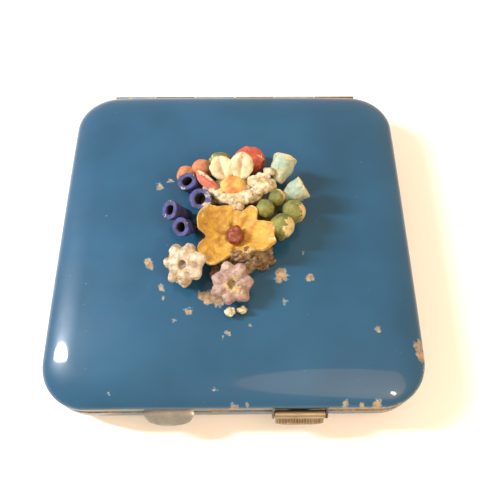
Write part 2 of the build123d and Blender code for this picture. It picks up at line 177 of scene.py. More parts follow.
def turned(profile, segments=64):
    """Rings of a surface of revolution about Z from a profile of (radius, height) points."""
    angle = np.linspace(0, 2 * pi, segments, endpoint=False)
    radius, height = np.array(profile).T
    return np.stack([np.outer(radius, np.cos(angle)), np.outer(radius, np.sin(angle)),
                     np.outer(height, np.ones(segments))], axis=2)


def arc(centre, radius, start, end, count=9):
    """Points of an arc about centre from one angle to another, in degrees."""
    angle = np.radians(np.linspace(start, end, count))
    return [(centre[0] + radius * cos(a), centre[1] + radius * sin(a)) for a in angle]


def ball(radii, rows=24, segments=40):
    """Rings of an ellipsoid: latitude circles scaled by three radii, stopping just short of the poles."""
    tilt = np.linspace(-pi / 2 + 0.06, pi / 2 - 0.06, rows)
    return turned(np.column_stack([np.cos(tilt), np.sin(tilt)]), segments) * np.array(radii)


def lumps(points, grain, seed):
    """Hand-made unevenness from -1 to 1: the mean of 28 seeded sine waves about grain long."""
    dice = np.random.default_rng(seed)
    waves = dice.normal(size=(28, 3))
    waves *= 2 * pi / grain * dice.uniform(0.6, 1.5, (28, 1)) / np.linalg.norm(waves, axis=1, keepdims=True)
    return np.clip(np.sin(points @ waves.T + dice.uniform(0, 2 * pi, 28)).mean(axis=-1) * 3.2, -1, 1)


def roughened(rings, amount, grain, seed):
    """Rings pushed along their normals, the cross product of their two tangents, by lumps."""
    around = np.roll(rings, -1, axis=1) - np.roll(rings, 1, axis=1)
    out = np.cross(around, np.gradient(rings, axis=0))
    out /= np.maximum(np.linalg.norm(out, axis=2, keepdims=True), 1e-6)
    return rings + out * amount * lumps(rings, grain, seed)[..., None]


def kneaded(rings, amount, grain, seed, fine=(0.03, 0.6, 10)):
    """Rings roughened twice: in lumps about grain long, then in a finer skin, given as its own amount
    and grain and the step to its seed."""
    fine_amount, fine_grain, step = fine
    return roughened(roughened(rings, amount, grain, seed), fine_amount, fine_grain, seed + step)


def refined(profile, count):
    """Profile resampled along straight lines. Returns count stations, numbered so that the profile's
    points are 0, 1, 2 and on, and the point at each."""
    profile = np.array(profile)
    stations = np.linspace(0, len(profile) - 1, count)
    return stations, np.column_stack([np.interp(stations, range(len(profile)), side) for side in profile.T])


def per_point(values, columns, poles):
    """Values of rings repeated for each ring's points, and then the values of the two poles."""
    return np.append(np.repeat(values, columns), poles)


def on_lid(place):
    """Place given as (x, y, height above the crown) as a point of the frame."""
    return np.add(place, [0, 0, CROWN])


def placed(rings, place, facing, spin=0.0):
    """Rings turned so that Z is facing, spun by degrees about it, and moved to place."""
    z = np.array(facing, float) / np.linalg.norm(facing)
    x = np.cross([0.0, 1.0, 0.0], z)
    x /= np.linalg.norm(x)
    y = np.cross(z, x)
    c, s = cos(radians(spin)), sin(radians(spin))
    return rings @ np.stack([x * c + y * s, y * c - x * s, z]) + np.array(place)


def petal(length, width, thickness, groove=0.0, cup=0.0, lift=0.0, blunt=1.3, rows=36, columns=44):
    """Closed petal along X from the origin, s from root to tip. Half width is sin(pi s^blunt)^0.55; the
    section is an oval with a groove down its upper face; its sides rise by cup and its tip by lift,
    both as squares of the distance."""
    s = np.linspace(0.01, 0.992, rows)[:, None]
    angle = np.linspace(0, 2 * pi, columns, endpoint=False)[None, :]
    swell = np.sin(pi * s ** blunt)
    share = np.cos(angle) * np.ones_like(s)
    height = thickness / 2 * swell ** 0.4 * np.sign(np.sin(angle)) * np.abs(np.sin(angle)) ** 0.8
    height -= groove * np.exp(-(share / 0.2) ** 2) * (np.sin(angle) > 0) * swell
    height += cup * share ** 2 * swell + lift * s ** 2
    return np.stack([length * s + 0 * share, width / 2 * swell ** 0.55 * share, height], axis=2)


def aimed(rings, root, tip):
    """Petal moved so that it runs from root to tip, keeping its upper face up: X along the line, Y level."""
    x = np.array(tip, float) - np.array(root, float)
    x /= np.linalg.norm(x)
    y = np.cross([0.0, 0.0, 1.0], x)
    y /= np.linalg.norm(y)
    return rings @ np.stack([x, y, np.cross(x, y)]) + np.array(root)


def blobs(spots, seed, amount=0.22, grain=1.3):
    """Lumps of paste, each an uneven ellipsoid, from rows of (x, y, height above the crown, radii)."""
    made = []
    for step, (x, y, up, radii) in enumerate(spots):
        rings = ball(radii, 28, 44) + on_lid((x, y, up))
        made.append(skin(kneaded(rings, amount, grain, seed + step, (0.06, 0.55, 300))))
    return joined(*made)


def joined(*surfaces):
    """One surface from several (points, faces) pairs."""
    points, faces, start = [], [], 0
    for some, their_faces in surfaces:
        points.append(some)
        faces += [[index + start for index in face] for face in their_faces]
        start += len(some)
    return np.concatenate(points), faces


def piece(name, surface, key, body, slot, stands_for=(), smooth=35, bevel=0.0, **painted):
    """Mesh object from (points in millimetres, faces) in the finish of that key. painted holds two values
    from 0 to 1 for each point. One is how far the paint is worn to paste, which on the tubes and berries
    also lays painted light on one side and on the florets painted shade. The other, deep, is how far into
    a bore or hole the point lies, which takes it towards near black: partly dark paint, partly painted
    shade."""
    points, faces = surface
    mesh = bpy.data.meshes.new(name)
    mesh.from_pydata((points * MM).tolist(), [], faces)
    for word in ("wear", "deep"):
        layer = mesh.attributes.new(word, "FLOAT", "POINT")
        layer.data.foreach_set("value", painted.get(word, np.zeros(len(points))))
    work = bmesh.new()
    work.from_mesh(mesh)
    bmesh.ops.recalc_face_normals(work, faces=work.faces)
    work.to_mesh(mesh)
    work.free()
    mesh.shade_smooth()
    mesh.set_sharp_from_angle(angle=radians(smooth))
    mesh.materials.append(finish(key))
    made = bpy.data.objects.new(name, mesh)
    bpy.context.scene.collection.objects.link(made)
    if bevel:
        edge = made.modifiers.new("Edges", "BEVEL")
        edge.width = bevel * MM
        edge.segments = 2
        edge.limit_method = "ANGLE"
        edge.angle_limit = radians(40)
    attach(made, body)
    if stands_for:
        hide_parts(*stands_for)
    return made


def bloom(name, surface, key, slot, stands_for=(), **painted):
    """Piece of the posy: modelled paste that rides on the lid."""
    piece(name, surface, key, "lid", slot, stands_for, HAND_MADE, **painted)


def towards(points, direction, centre, spread=1.0):
    """How far each point faces a direction from a centre, from 0 to 1, for worn sides, and on some
    pieces for sides given painted light and painted shade.
    """
    away = points - np.array(centre)
    away /= np.maximum(np.linalg.norm(away, axis=1, keepdims=True), 1e-6)
    aim = np.array(direction, float) / np.linalg.norm(direction)
    return np.clip((away @ aim) * spread, 0, 1)


# ---- Materials ---------------------------------------------------------------------------------
def add(tree, kind, inputs=None, output=0, **settings):
    """Adds one shader node with its settings, and its inputs as values or links; returns an output."""
    made = tree.nodes.new("ShaderNode" + kind)
    for key, value in settings.items():
        setattr(made, key, value)
    for key, value in (inputs or {}).items():
        if isinstance(value, bpy.types.NodeSocket):
            tree.links.new(value, made.inputs[key])
        else:
            made.inputs[key].default_value = value
    return made.outputs[output]


def per_mm(size):
    """Noise scale on Object coordinates, which are metres, for features of a size in millimetres."""
    return 1.0 / (size * MM)


def begin(name, roughness, metallic=0.0):
    """Material with a bare Principled shader; returns it, its tree, the shader and Object coordinates."""
    material = bpy.data.materials.new(name)
    material.use_nodes = True
    tree = material.node_tree
    shader = tree.nodes["Principled BSDF"]
    shader.inputs["Roughness"].default_value = roughness
    shader.inputs["Metallic"].default_value = metallic
    return material, tree, shader, add(tree, "TexCoord", output="Object")


def dress(tree, shader, **outputs):
    """Links outputs to the shader's sockets, named with underscores for spaces."""
    for socket, value in outputs.items():
        tree.links.new(value, shader.inputs[socket.replace("_", " ")])


def patches(tree, where, size, detail, edges, under, over, most=1.0, roughness=0.5):
    """Colour under with colour over laid on it in cloudy patches about size millimetres across, where
    noise rises between the two edges, and at most by most. Returns the colour and the patches."""
    noise = add(tree, "TexNoise", {"Vector": where, "Scale": per_mm(size), "Detail": detail,
                                   "Roughness": roughness})
    share = add(tree, "MapRange", {0: noise, 1: edges[0], 2: edges[1], 3: 0.0, 4: most})
    return add(tree, "Mix", {0: share, 6: under, 7: over}, **COLOURS), share


# Colours that show on every enamelled or every painted piece.
DUST, CHALKY_EDGE, PRIMER, DARK_PRIMER = "6d90a0", "86a3aa", "a08a6c", "7d684f"
# The near-black hollow colour is partly dark paint and partly painted shade inside bores and holes.
BARE_PASTE, SOOT, HOLLOW_PAINT_AND_SHADE = "cdb484", "5a4630", "1d150f"

# Places where the enamel has flaked, as (x, y, radius) in millimetres on the lid.
CHIPS = [
    (-16.3, -8.2, 0.75), (-15.9, -9.2, 0.45), (-15.3, 8.7, 0.62), (-13.0, 10.0, 0.45), (9.0, -11.1, 1.2),
    (8.4, -12.0, 0.6), (14.5, -11.7, 0.75), (-13.5, -13.6, 0.7), (-8.2, -18.1, 0.6), (-8.9, -17.9, 0.4),
    (9.4, -16.4, 0.42), (-1.2, -22.3, 0.32), (-1.9, -23.2, 0.25), (3.0, -20.6, 0.3), (26.4, -21.5, 0.42),
    (-4.6, -15.4, 1.25), (-2.9, -15.9, 1.3), (-6.0, -15.1, 0.8), (-21.8, -32.5, 0.24), (-3.4, -32.2, 0.3),
    (19.6, -34.5, 0.5), (25.2, -34.5, 0.8), (0.0, -35.2, 0.95), (33.9, -24.3, 0.9), (34.2, -26.0, 0.9),
    (-13.0, -15.7, 0.24), (-11.0, -20.0, 0.2), (13.2, -6.3, 0.25), (2.4, -34.5, 0.3), (22.6, -34.9, 0.4),
]


def stoved_enamel(name, chips, edge_height):
    """Stoved enamel on tinned sheet: deep gloss with faint orange peel, rubbed lighter in soft patches,
    flaked to tan primer in spots and along the handled rim."""
    case = bpy.context.scene.compact_case
    material, tree, shader, where = begin(name, 0.2)
    # A broad faint sheen from the enamel, which hazes the sharp one from its glassy top.
    for socket, value in (("Specular IOR Level", 0.2), ("Coat Weight", 0.42), ("Coat Roughness", 0.07)):
        shader.inputs[socket].default_value = value
    x, y, z = (add(tree, "SeparateXYZ", {0: where}, axis) for axis in range(3))
    body, _ = patches(tree, where, 15, 3.0, (0.35, 0.65), (*case.enamel, 1), (*case.enamel_rubbed, 1))
    body, _ = patches(tree, where, 0.7, 2.0, (0.74, 0.8), body, linear(DUST), 0.4)
    ragged = add(tree, "TexNoise", {"Vector": where, "Scale": per_mm(1.1), "Detail": 4.0, "Roughness": 0.6},
                 "Color")
    ragged = add(tree, "VectorMath", {0: ragged, 1: (0.5, 0.5, 0.5)}, operation="SUBTRACT")
    ragged = add(tree, "VectorMath", {0: ragged, 1: (2.6 * MM, 2.6 * MM, 0.0)}, operation="MULTIPLY")
    flat = add(tree, "VectorMath", {0: where, 1: ragged}, operation="ADD")
    flat = add(tree, "VectorMath", {0: flat, 1: (1.0, 1.0, 0.0)}, operation="MULTIPLY")
    # Rim wear: bare where the height above the rim is under a ragged line, deeper at the front right
    # corner, where fingers open the lid, and on the left edge.
    handled = add(tree, "Math", {0: x, 1: y}, operation="SUBTRACT")
    handled = add(tree, "MapRange", {0: handled, 1: 48 * MM, 2: 60 * MM, 3: 0.12 * MM, 4: 0.62 * MM})
    left = add(tree, "MapRange", {0: x, 1: -34.2 * MM, 2: -34.8 * MM, 3: 0.0, 4: 0.35 * MM})
    handled = add(tree, "Math", {0: handled, 1: left}, operation="ADD")
    torn = add(tree, "TexNoise", {"Vector": where, "Scale": per_mm(2.0), "Detail": 6.0, "Roughness": 0.7})
    torn = add(tree, "MapRange", {0: torn, 1: 0.42, 2: 0.66, 3: 0.0, 4: 2.6})
    line = add(tree, "Math", {0: handled, 1: torn}, operation="MULTIPLY")
    above = add(tree, "Math", {0: z, 1: edge_height * MM}, operation="SUBTRACT")
    above = add(tree, "Math", {0: above}, operation="ABSOLUTE")
    bare = add(tree, "Math", {0: line, 1: above}, operation="SUBTRACT")
    for chip_x, chip_y, radius in chips:
        far = add(tree, "VectorMath", {0: flat, 1: (chip_x * MM, chip_y * MM, 0.0)}, "Value",
                  operation="DISTANCE")
        left_over = add(tree, "Math", {0: radius * MM, 1: far}, operation="SUBTRACT")
        bare = add(tree, "Math", {0: bare, 1: left_over}, operation="MAXIMUM")
    flake = add(tree, "MapRange", {0: bare, 1: 0.0, 2: 0.08 * MM})
    tan, _ = patches(tree, where, 0.8, 4.0, (0.38, 0.62), linear(PRIMER), linear(DARK_PRIMER))
    edge = add(tree, "MapRange", {0: bare, 1: -0.18 * MM, 2: 0.0, 3: 0.0, 4: 0.45})
    body = add(tree, "Mix", {0: edge, 6: body, 7: linear(CHALKY_EDGE)}, **COLOURS)
    colour = add(tree, "Mix", {0: flake, 6: body, 7: tan}, **COLOURS)
    haze = add(tree, "TexNoise", {"Vector": where, "Scale": per_mm(5), "Detail": 5.0, "Roughness": 0.7})
    haze = add(tree, "MapRange", {0: haze, 1: 0.3, 2: 0.7, 3: 0.32, 4: 0.42})
    dull = add(tree, "Math", {0: flake, 1: 0.35}, operation="MULTIPLY")
    peel = add(tree, "TexNoise", {"Vector": where, "Scale": per_mm(3), "Detail": 1.0})
    peel = add(tree, "Math", {0: peel, 1: 0.12}, operation="MULTIPLY")
    relief = add(tree, "Math", {0: peel, 1: flake}, operation="SUBTRACT")
    bump = add(tree, "Bump", {"Strength": 0.5, "Distance": 0.1 * MM, "Height": relief})
    dress(tree, shader, Base_Color=colour, Normal=bump,
          Roughness=add(tree, "Math", {0: haze, 1: dull}, operation="ADD"))
    return material


def metal(name, light, dark, roughness, stretch=(1.0, 9.0, 9.0)):
    """Plated or drawn sheet metal: fine lines along the way it was polished, and cloudy tarnish in
    patches about 3 mm across that also dulls it."""
    material, tree, shader, where = begin(name, roughness, 1.0)
    drawn = add(tree, "Mapping", {"Vector": where, "Scale": stretch})
    lines = add(tree, "TexNoise", {"Vector": drawn, "Scale": per_mm(1.5), "Detail": 3.0})
    colour, cloud = patches(tree, where, 3, 5.0, (0.35, 0.68), linear(light), linear(dark), 1.0, 0.65)
    streak = add(tree, "MapRange", {0: lines, 1: 0.35, 2: 0.65, 3: 0.0, 4: 0.35})
    colour = add(tree, "Mix", {0: streak, 6: colour, 7: linear(dark)}, **COLOURS)
    dull = add(tree, "MapRange", {0: cloud, 1: 0.0, 2: 1.0, 3: roughness, 4: roughness + 0.2})
    bump = add(tree, "Bump", {"Strength": 0.3, "Distance": 0.03 * MM, "Height": lines})
    dress(tree, shader, Base_Color=colour, Roughness=dull, Normal=bump)
    return material


def painted_paste(name, paint, second, paste="efdfb8", wear_gain=0.5, gloss=0.45, dirt=0.4, patch=1.6,
                  flake_at=1.0):
    """Hand-painted modelling paste: brushed colour in two tones, and cream paste where the paint has
    flaked. On one side of the tubes and berries the paste is painted light, and on the florets painted
    shade. There is brown grime in the pits, and near black deep in bores and holes, partly dark paint
    and partly painted shade. The skin is dry and finely pitted."""
    material, tree, shader, where = begin(name, gloss)
    tones, _ = patches(tree, where, patch, 4.0, (0.38, 0.62), linear(paint), linear(second))
    # Paste shows where the paint is worn. On the tubes and berries this also lays painted light on one side,
    # and on the florets painted shade.
    wear = add(tree, "Attribute", {}, "Fac", attribute_name="wear")
    worn = add(tree, "Math", {0: wear, 1: wear_gain}, operation="MULTIPLY")
    flake = add(tree, "TexNoise", {"Vector": where, "Scale": per_mm(1.2), "Detail": 6.0, "Roughness": 0.7})
    flake = add(tree, "MapRange", {0: flake, 1: 0.3, 2: 0.7})
    worn = add(tree, "Math", {0: worn, 1: flake}, operation="ADD")
    mask = add(tree, "MapRange", {0: worn, 1: flake_at, 2: flake_at + 0.06})
    under, _ = patches(tree, where, 0.8, 4.0, (0.35, 0.65), linear(paste), linear(BARE_PASTE), 0.7)
    colour = add(tree, "Mix", {0: mask, 6: tones, 7: under}, **COLOURS)
    colour, _ = patches(tree, where, 1.0, 8.0, (0.49, 0.64), colour, linear(SOOT), dirt, 0.8)
    # Deeper into bores and holes the colour goes to near black: partly dark paint, partly painted shade.
    deep = add(tree, "Attribute", {}, "Fac", attribute_name="deep")
    colour = add(tree, "Mix", {0: deep, 6: colour, 7: linear(HOLLOW_PAINT_AND_SHADE)}, **COLOURS)
    pits = add(tree, "TexNoise", {"Vector": where, "Scale": per_mm(0.45), "Detail": 5.0, "Roughness": 0.7})
    relief = add(tree, "Math", {0: mask, 1: -0.3}, operation="MULTIPLY")
    relief = add(tree, "Math", {0: relief, 1: pits}, operation="ADD")
    bump = add(tree, "Bump", {"Strength": 0.75, "Distance": 0.2 * MM, "Height": relief})
    dull = add(tree, "MapRange", {0: pits, 1: 0.3, 2: 0.7, 3: gloss, 4: gloss + 0.25})
    dress(tree, shader, Base_Color=colour, Roughness=dull, Normal=bump)
    return material


def soft_matt(name, light, dark, grain, depth, sheen=0.0):
    """Pressed powder, velour nap or pulp card: matt, with a grain of a size in millimetres and cloudy
    tone. The velour's tufts are drawn about 0.4 mm wide, coarser than real, so that they show."""
    material, tree, shader, where = begin(name, 0.92)
    shader.inputs["Sheen Weight"].default_value = sheen
    nap = add(tree, "TexNoise", {"Vector": where, "Scale": per_mm(grain), "Detail": 5.0, "Roughness": 0.7})
    colour, _ = patches(tree, where, 4, 3.0, (0.35, 0.65), linear(light), linear(dark))
    pits = add(tree, "MapRange", {0: nap, 1: 0.3, 2: 0.5, 3: 0.5, 4: 0.0})
    colour = add(tree, "Mix", {0: pits, 6: colour, 7: linear(dark)}, **COLOURS)
    bump = add(tree, "Bump", {"Strength": 0.8, "Distance": depth * MM, "Height": nap})
    dress(tree, shader, Base_Color=colour, Normal=bump)
    return material


def silvered_glass():
    """Silvered plate glass: a clean mirror, faintly foxed."""
    material, tree, shader, where = begin("silvered_glass", 0.03, 1.0)
    colour, fox = patches(tree, where, 5, 6.0, (0.62, 0.8), linear("eef1f0"), linear("b9b2a2"), 1.0, 0.7)
    dress(tree, shader, Base_Color=colour,
          Roughness=add(tree, "MapRange", {0: fox, 1: 0.0, 2: 1.0, 3: 0.02, 4: 0.2}))
    return material


# Finish: the function that makes it, and that function's arguments, which begin with the material's
# name. Colours are sRGB.
FINISHES = {
    "enamel": (stoved_enamel, "stoved_enamel_flaked", CHIPS, RIM),
    "enamel_base": (stoved_enamel, "stoved_enamel_base", [], BASE_TOP),
    "enamel_hinge": (stoved_enamel, "stoved_enamel_hinge", [], RIM + 0.4),
    "nickel": (metal, "nickel_plate_tan", "a99a80", "8b7b62", 0.28),
    "nickel_grey": (metal, "nickel_plate_grey", "aaa9a2", "88867e", 0.36),
    "brass": (metal, "tarnished_brass", "a88e68", "7c6442", 0.36),
    "steel": (metal, "drawn_steel", "8b857b", "4c463e", 0.4),
    "gilt": (metal, "gilt_tinplate", "d0b67c", "b89a62", 0.28),
    "powder": (soft_matt, "pressed_face_powder", "d8b79c", "cba384", 0.5, 0.1),
    "rouge": (soft_matt, "pressed_rouge", "b04a4c", "8f3138", 0.5, 0.1),
    "velour": (soft_matt, "cotton_velour", "dfc0b0", "cda793", 0.4, 0.3, 0.6),
    "card": (soft_matt, "pulp_card", "8d7b62", "5f5040", 0.7, 0.1),
    "mirror": (silvered_glass,),
    "cream": (painted_paste, "cream_painted_paste", "cabf9c", "b8a880", "b06a54", 0.62, 0.5, 0.5),
    "pink": (painted_paste, "pink_streaked_paste", "b8644c", "aa5446", "cdb894", 0.75, 0.5, 0.4),
    "white": (painted_paste, "white_painted_paste", "bfb29c", "968264", "a2835a", 0.5, 0.5, 0.75),
    "lilac": (painted_paste, "lilac_painted_paste", "a89488", "886a64", "b0965c", 0.7, 0.5, 0.75),
    "orange": (painted_paste, "orange_painted_paste", "b96c2c", "caa650", "cdb468", 0.4, 0.4, 0.45, 2.4),
    "salmon": (painted_paste, "salmon_painted_paste", "b46a3c", "ae7450", "c09470", 0.5, 0.5, 0.45),
    "yellow": (painted_paste, "yellow_painted_paste", "c29a3a", "ae8234", "ccb67c", 0.62, 0.5, 0.45),
    "garnet": (painted_paste, "garnet_varnished_paste", "8e3a20", "5c2816", "a8703c", 0.4, 0.16, 0.8, 0.8),
    "coral": (painted_paste, "coral_painted_paste", "b64a2c", "a04032", "cc9478", 0.6, 0.4, 0.35),
    "green": (painted_paste, "green_painted_paste", "525e30", "7e7c34", "bcaa6a", 0.9, 0.5, 0.5, 1.3),
    "aqua": (painted_paste, "aqua_painted_paste", "86a08e", "a9ac8c", "beb086", 0.75, 0.5, 0.5, 1.4),
    "cobalt": (painted_paste, "cobalt_painted_paste", "343c80", "1d2248", "8a8a94", 0.5, 0.55, 0.6, 1.2),
    "grime": (painted_paste, "grimy_bare_paste", "846c48", "54402b", "b09a70", 0.5, 0.6, 0.9, 1.0, 0.86),
    "crumb": (painted_paste, "bare_cream_paste", "cabfa0", "a8946a", "cfc29c", 0.3, 0.6, 0.7),
}
made_finishes = {}


def finish(key):
    """The material of that key, made once."""
    if key not in made_finishes:
        maker, *words = FINISHES[key]
        made_finishes[key] = maker(*words)
    return made_finishes[key]


def dress_node(name, key):
    """Gives a CAD node that stays in view its material."""
    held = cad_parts[name]
    held.data.materials.clear()
    held.data.materials.append(finish(key))


# ---- Operators ---------------------------------------------------------------------------------
class CompactBase(bpy.types.Operator):
    """Lower shell: a tray with a round heel, and the bright frame that lines its edge."""

    bl_idname = "compact.base"
    bl_label = "Lower shell"

    def execute(self, context):
        case = context.scene.compact_case
        heel, wall = case.heel / MM, case.wall / MM
        outer = [(CORE, 0.0)] + arc((heel, heel), heel, -90, -180, 12)
        inner = arc((heel, heel), heel - wall, -180, -90, 12) + [(CORE, wall)]
        top = [(0.0, BASE_TOP - 0.1), (0.1, BASE_TOP), (wall - 0.1, BASE_TOP), (wall, BASE_TOP - 0.1)]
        piece("lower_shell", swept(outer + top + inner, capped=True), "enamel_base", "base",
              "blue_enamel", ["base_shell"])
        edge, foot = BASE_TOP, BASE_TOP - 2.2
        rail = [(0.6, foot), (0.6, edge), (0.35, edge)] + arc((0.47, edge + 0.25), 0.22, 210, 90, 6)
        rail += [(1.0, FLANGE_TOP), (1.1, FLANGE_TOP - 0.1), (1.1, foot)]
        piece("lower_frame", swept(rail), "nickel", "base", "nickel_plate", ["base_frame"])
        return {"FINISHED"}


class CompactPowder(bpy.types.Operator):
    """Powder well, its pressed powder and its velour puff."""

    bl_idname = "compact.powder"
    bl_label = "Powder well"

    def execute(self, context):
        top = box_mm("powder_well")[1][2]
        well = [(CORE, 0.5), (6.2, 0.5)] + arc((6.2, 1.7), 1.2, -90, -180, 6)
        well += [(5.0, top - 0.35), (1.3, top - 0.35), (1.2, top - 0.2), (1.3, top), (5.0, top)]
        well += [(5.3, top - 0.1), (5.35, top - 0.5)] + arc((6.2, 1.7), 0.85, -180, -90, 6)
        well += [(CORE, 0.85)]
        piece("well_tray", swept(well, capped=True), "gilt", "base", "gilt_tin", ["powder_well"])
        low, high = (corner[2] for corner in box_mm("powder_cake"))
        cake = swept([(CORE, low), (6.3, low), (5.45, low + 0.9), (5.45, high - 0.5), (5.9, high - 0.1),
                      (CORE, high)], capped=True)
        piece("powder_fill", cake, "powder", "base", "pressed_powder", ["powder_cake"], HAND_MADE)
        for node, body, fill in (("powder_puff", "base", 0.5), ("rouge_puff", "inner_leaf", 0.5)):
            low, high = box_mm(node)
            middle = (low + high) / 2
            radius, half = (high - low)[0] / 2, (high - low)[2] / 2
            t = np.linspace(-pi / 2, pi / 2, 30)[1:-1]
            edge = np.column_stack([radius * np.abs(np.cos(t)) ** 0.35,
                                    half * np.sign(np.sin(t)) * np.abs(np.sin(t)) ** 0.8])
            rings = turned(edge, 72)
            dimple = 0.16 * np.exp(-(np.hypot(rings[..., 0], rings[..., 1]) / (radius * 0.2)) ** 2)
            rings[..., 2] *= 1 - dimple
            rings[..., 2] += 0.05 * half * lumps(rings, 6, 5) * (np.abs(rings[..., 2]) > half * 0.5)
            puff = piece(node + "_pad", skin(rings + middle), "velour", body, "velour", [node],
                         smooth=80)
        return {"FINISHED"}


class CompactInner(bpy.types.Operator):
    """Inner lid: a plated tray with a raised rim and a round hole for the rouge pan, and its thumb tab."""

    bl_idname = "compact.inner"
    bl_label = "Inner lid"

    def execute(self, context):
        low_pan, high_pan = box_mm("rouge_pan")
        centre = (low_pan + high_pan)[:2] / 2
        hole = (high_pan - low_pan)[0] / 2 - 0.9
        floor = INNER_TOP - 1.0

        def hole_ring(height):
            """Circle of the hole with one point towards each station of the outline."""
            edge = outline(2.0, height)
            away = edge[:, :2] - centre
            edge[:, :2] = centre + hole * away / np.linalg.norm(away, axis=1, keepdims=True)
            return edge

        rim = [(1.3, floor), (0.9, floor + 0.2), (0.85, INNER_TOP - 0.1), (0.7, INNER_TOP),
               (0.45, INNER_TOP), (0.3, INNER_TOP - 0.12), (0.3, INNER_LOW + 0.1), (0.4, INNER_LOW)]
        rings = [hole_ring(floor), *(outline(*station) for station in rim), hole_ring(INNER_LOW)]
        piece("inner_tray", skin(np.stack(rings), capped=False), "nickel", "inner_leaf",
              "nickel_plate", ["inner_lid"])
        tab_low, tab_high = box_mm("inner_tab")
        middle = (tab_low[0] + tab_high[0]) / 2
        path = [(tab_high[1], 8.15), (-35.3, 8.1), (-35.8, 7.85), (-36.4, 7.3), (-36.9, 6.85),
                (-37.15, 6.5)]
        piece("inner_thumb_tab", lip(middle, path, 4.5, 3.3, 0.0), "nickel_grey", "inner_leaf",
              "nickel_plate", ["inner_tab"], smooth=50)
        dress_node("rouge_pan", "gilt")
        dress_node("rouge_cake", "rouge")
        return {"FINISHED"}


def lip(middle, path, half_width, half_tip, rib, corner=0.38):
    """Thumb lip: a flat oval section carried along a smoothed (y, z) path, narrowed to its tip as a
    superellipse over the last share called corner, its upper face ribbed by a cosine every 0.5 mm."""
    pitch, half_sheet = 0.5, 0.2
    path = np.array(path)
    run = np.concatenate([[0], np.cumsum(np.linalg.norm(np.diff(path, axis=0), axis=1))])
    s = np.linspace(0, 1, 40)
    line = np.column_stack([np.interp(s * run[-1], run, path[:, k]) for k in (0, 1)])
    for _ in range(6):
        line[1:-1] = (line[:-2] + 2 * line[1:-1] + line[2:]) / 4
    along = np.gradient(line, axis=0)
    along /= np.linalg.norm(along, axis=1, keepdims=True)
    up = np.column_stack([-along[:, 1], along[:, 0]]) * -1.0
    half = half_width + (half_tip - half_width) * np.clip((s - 0.25) / 0.75, 0, 1) ** 1.5
    half *= (1 - np.clip((s - 1 + corner) / (corner + 0.01), 0, 1) ** 3.2) ** 0.42
    across = np.concatenate([np.linspace(-1, 1, 90), np.linspace(1, -1, 90)])
    upper = np.concatenate([np.ones(90), -np.ones(90)])
    thick = half_sheet * (1 - np.abs(across) ** 14) * upper
    x = middle + half[:, None] * across[None, :]
    ribs = rib * np.cos(2 * pi * x / pitch) * (upper[None, :] > 0) * (np.abs(across) < 0.93)
    ribs = ribs * np.clip((s[:, None] - 0.3) * 8, 0, 1) * np.clip((0.9 - s[:, None]) * 12, 0, 1)
    push = thick[None, :] + ribs
    return skin(np.stack([x, line[:, :1] + up[:, :1] * push, line[:, 1:] + up[:, 1:] * push], axis=2))


class CompactHinge(bpy.types.Operator):
    """Hinge: sheet rolled into knuckles round one pin, by turns on the lid, the base and the inner lid."""

    bl_idname = "compact.hinge"
    bl_label = "Hinge"

    def execute(self, context):
        count = context.scene.compact_case.knuckles
        y, z = HINGE[1], HINGE[2]
        sheet, radius, gap = 0.4, 0.9, 0.1
        back, strip_face = 35.0, 35.35

        def rolled(root, end, start_angle, end_angle):
            """Outline of a rolled knuckle: a tail from root, an arc round the pin and the same arc back
            one sheet's thickness further in, to the tail's other side at end."""
            outer = arc((y, z), radius, start_angle, end_angle, 28)
            inner = arc((y, z), radius - sheet, end_angle, start_angle, 28)
            return [root] + outer + inner + [end]

        shapes = {
            "lid": rolled((34.7, z + radius), (34.7, z + radius - sheet), 90, -185),
            "base": rolled((back, 6.2), (strip_face, 6.2), 205, -130),
            "inner_leaf": rolled((34.55, z - 1.07), (34.55, z - 0.7), -112, 200),
        }
        owners = ["lid", "base", "lid", "inner_leaf", "lid", "base"]
        pitch = 2 * HINGE_HALF / count
        runs = {}
        for index in range(count):
            start = -HINGE_HALF + pitch * index
            owner = owners[index % 6]
            knuckle = extruded(shapes[owner], start + gap, start + pitch - gap)
            runs.setdefault(owner, []).append(knuckle)
        leaf_low, leaf_high = box_mm("base_hinge_leaf")
        strip = [(back, leaf_low[2]), (strip_face, leaf_low[2]), (strip_face, BASE_TOP), (back, BASE_TOP)]
        runs["base"].append(extruded(strip, leaf_low[0], leaf_high[0]))
        for name, key, owner, slot, stands_for in (
                ("hinge_knuckles_base", "brass", "base", "worn_brass", ["base_hinge_leaf"]),
                ("hinge_knuckles_lid", "enamel_hinge", "lid", "blue_enamel", []),
                ("hinge_knuckle_inner", "brass", "inner_leaf", "nickel_plate", [])):
            piece(name, joined(*runs[owner]), key, owner, slot, stands_for, bevel=0.07)
        dress_node("hinge_pin", "steel")
        return {"FINISHED"}


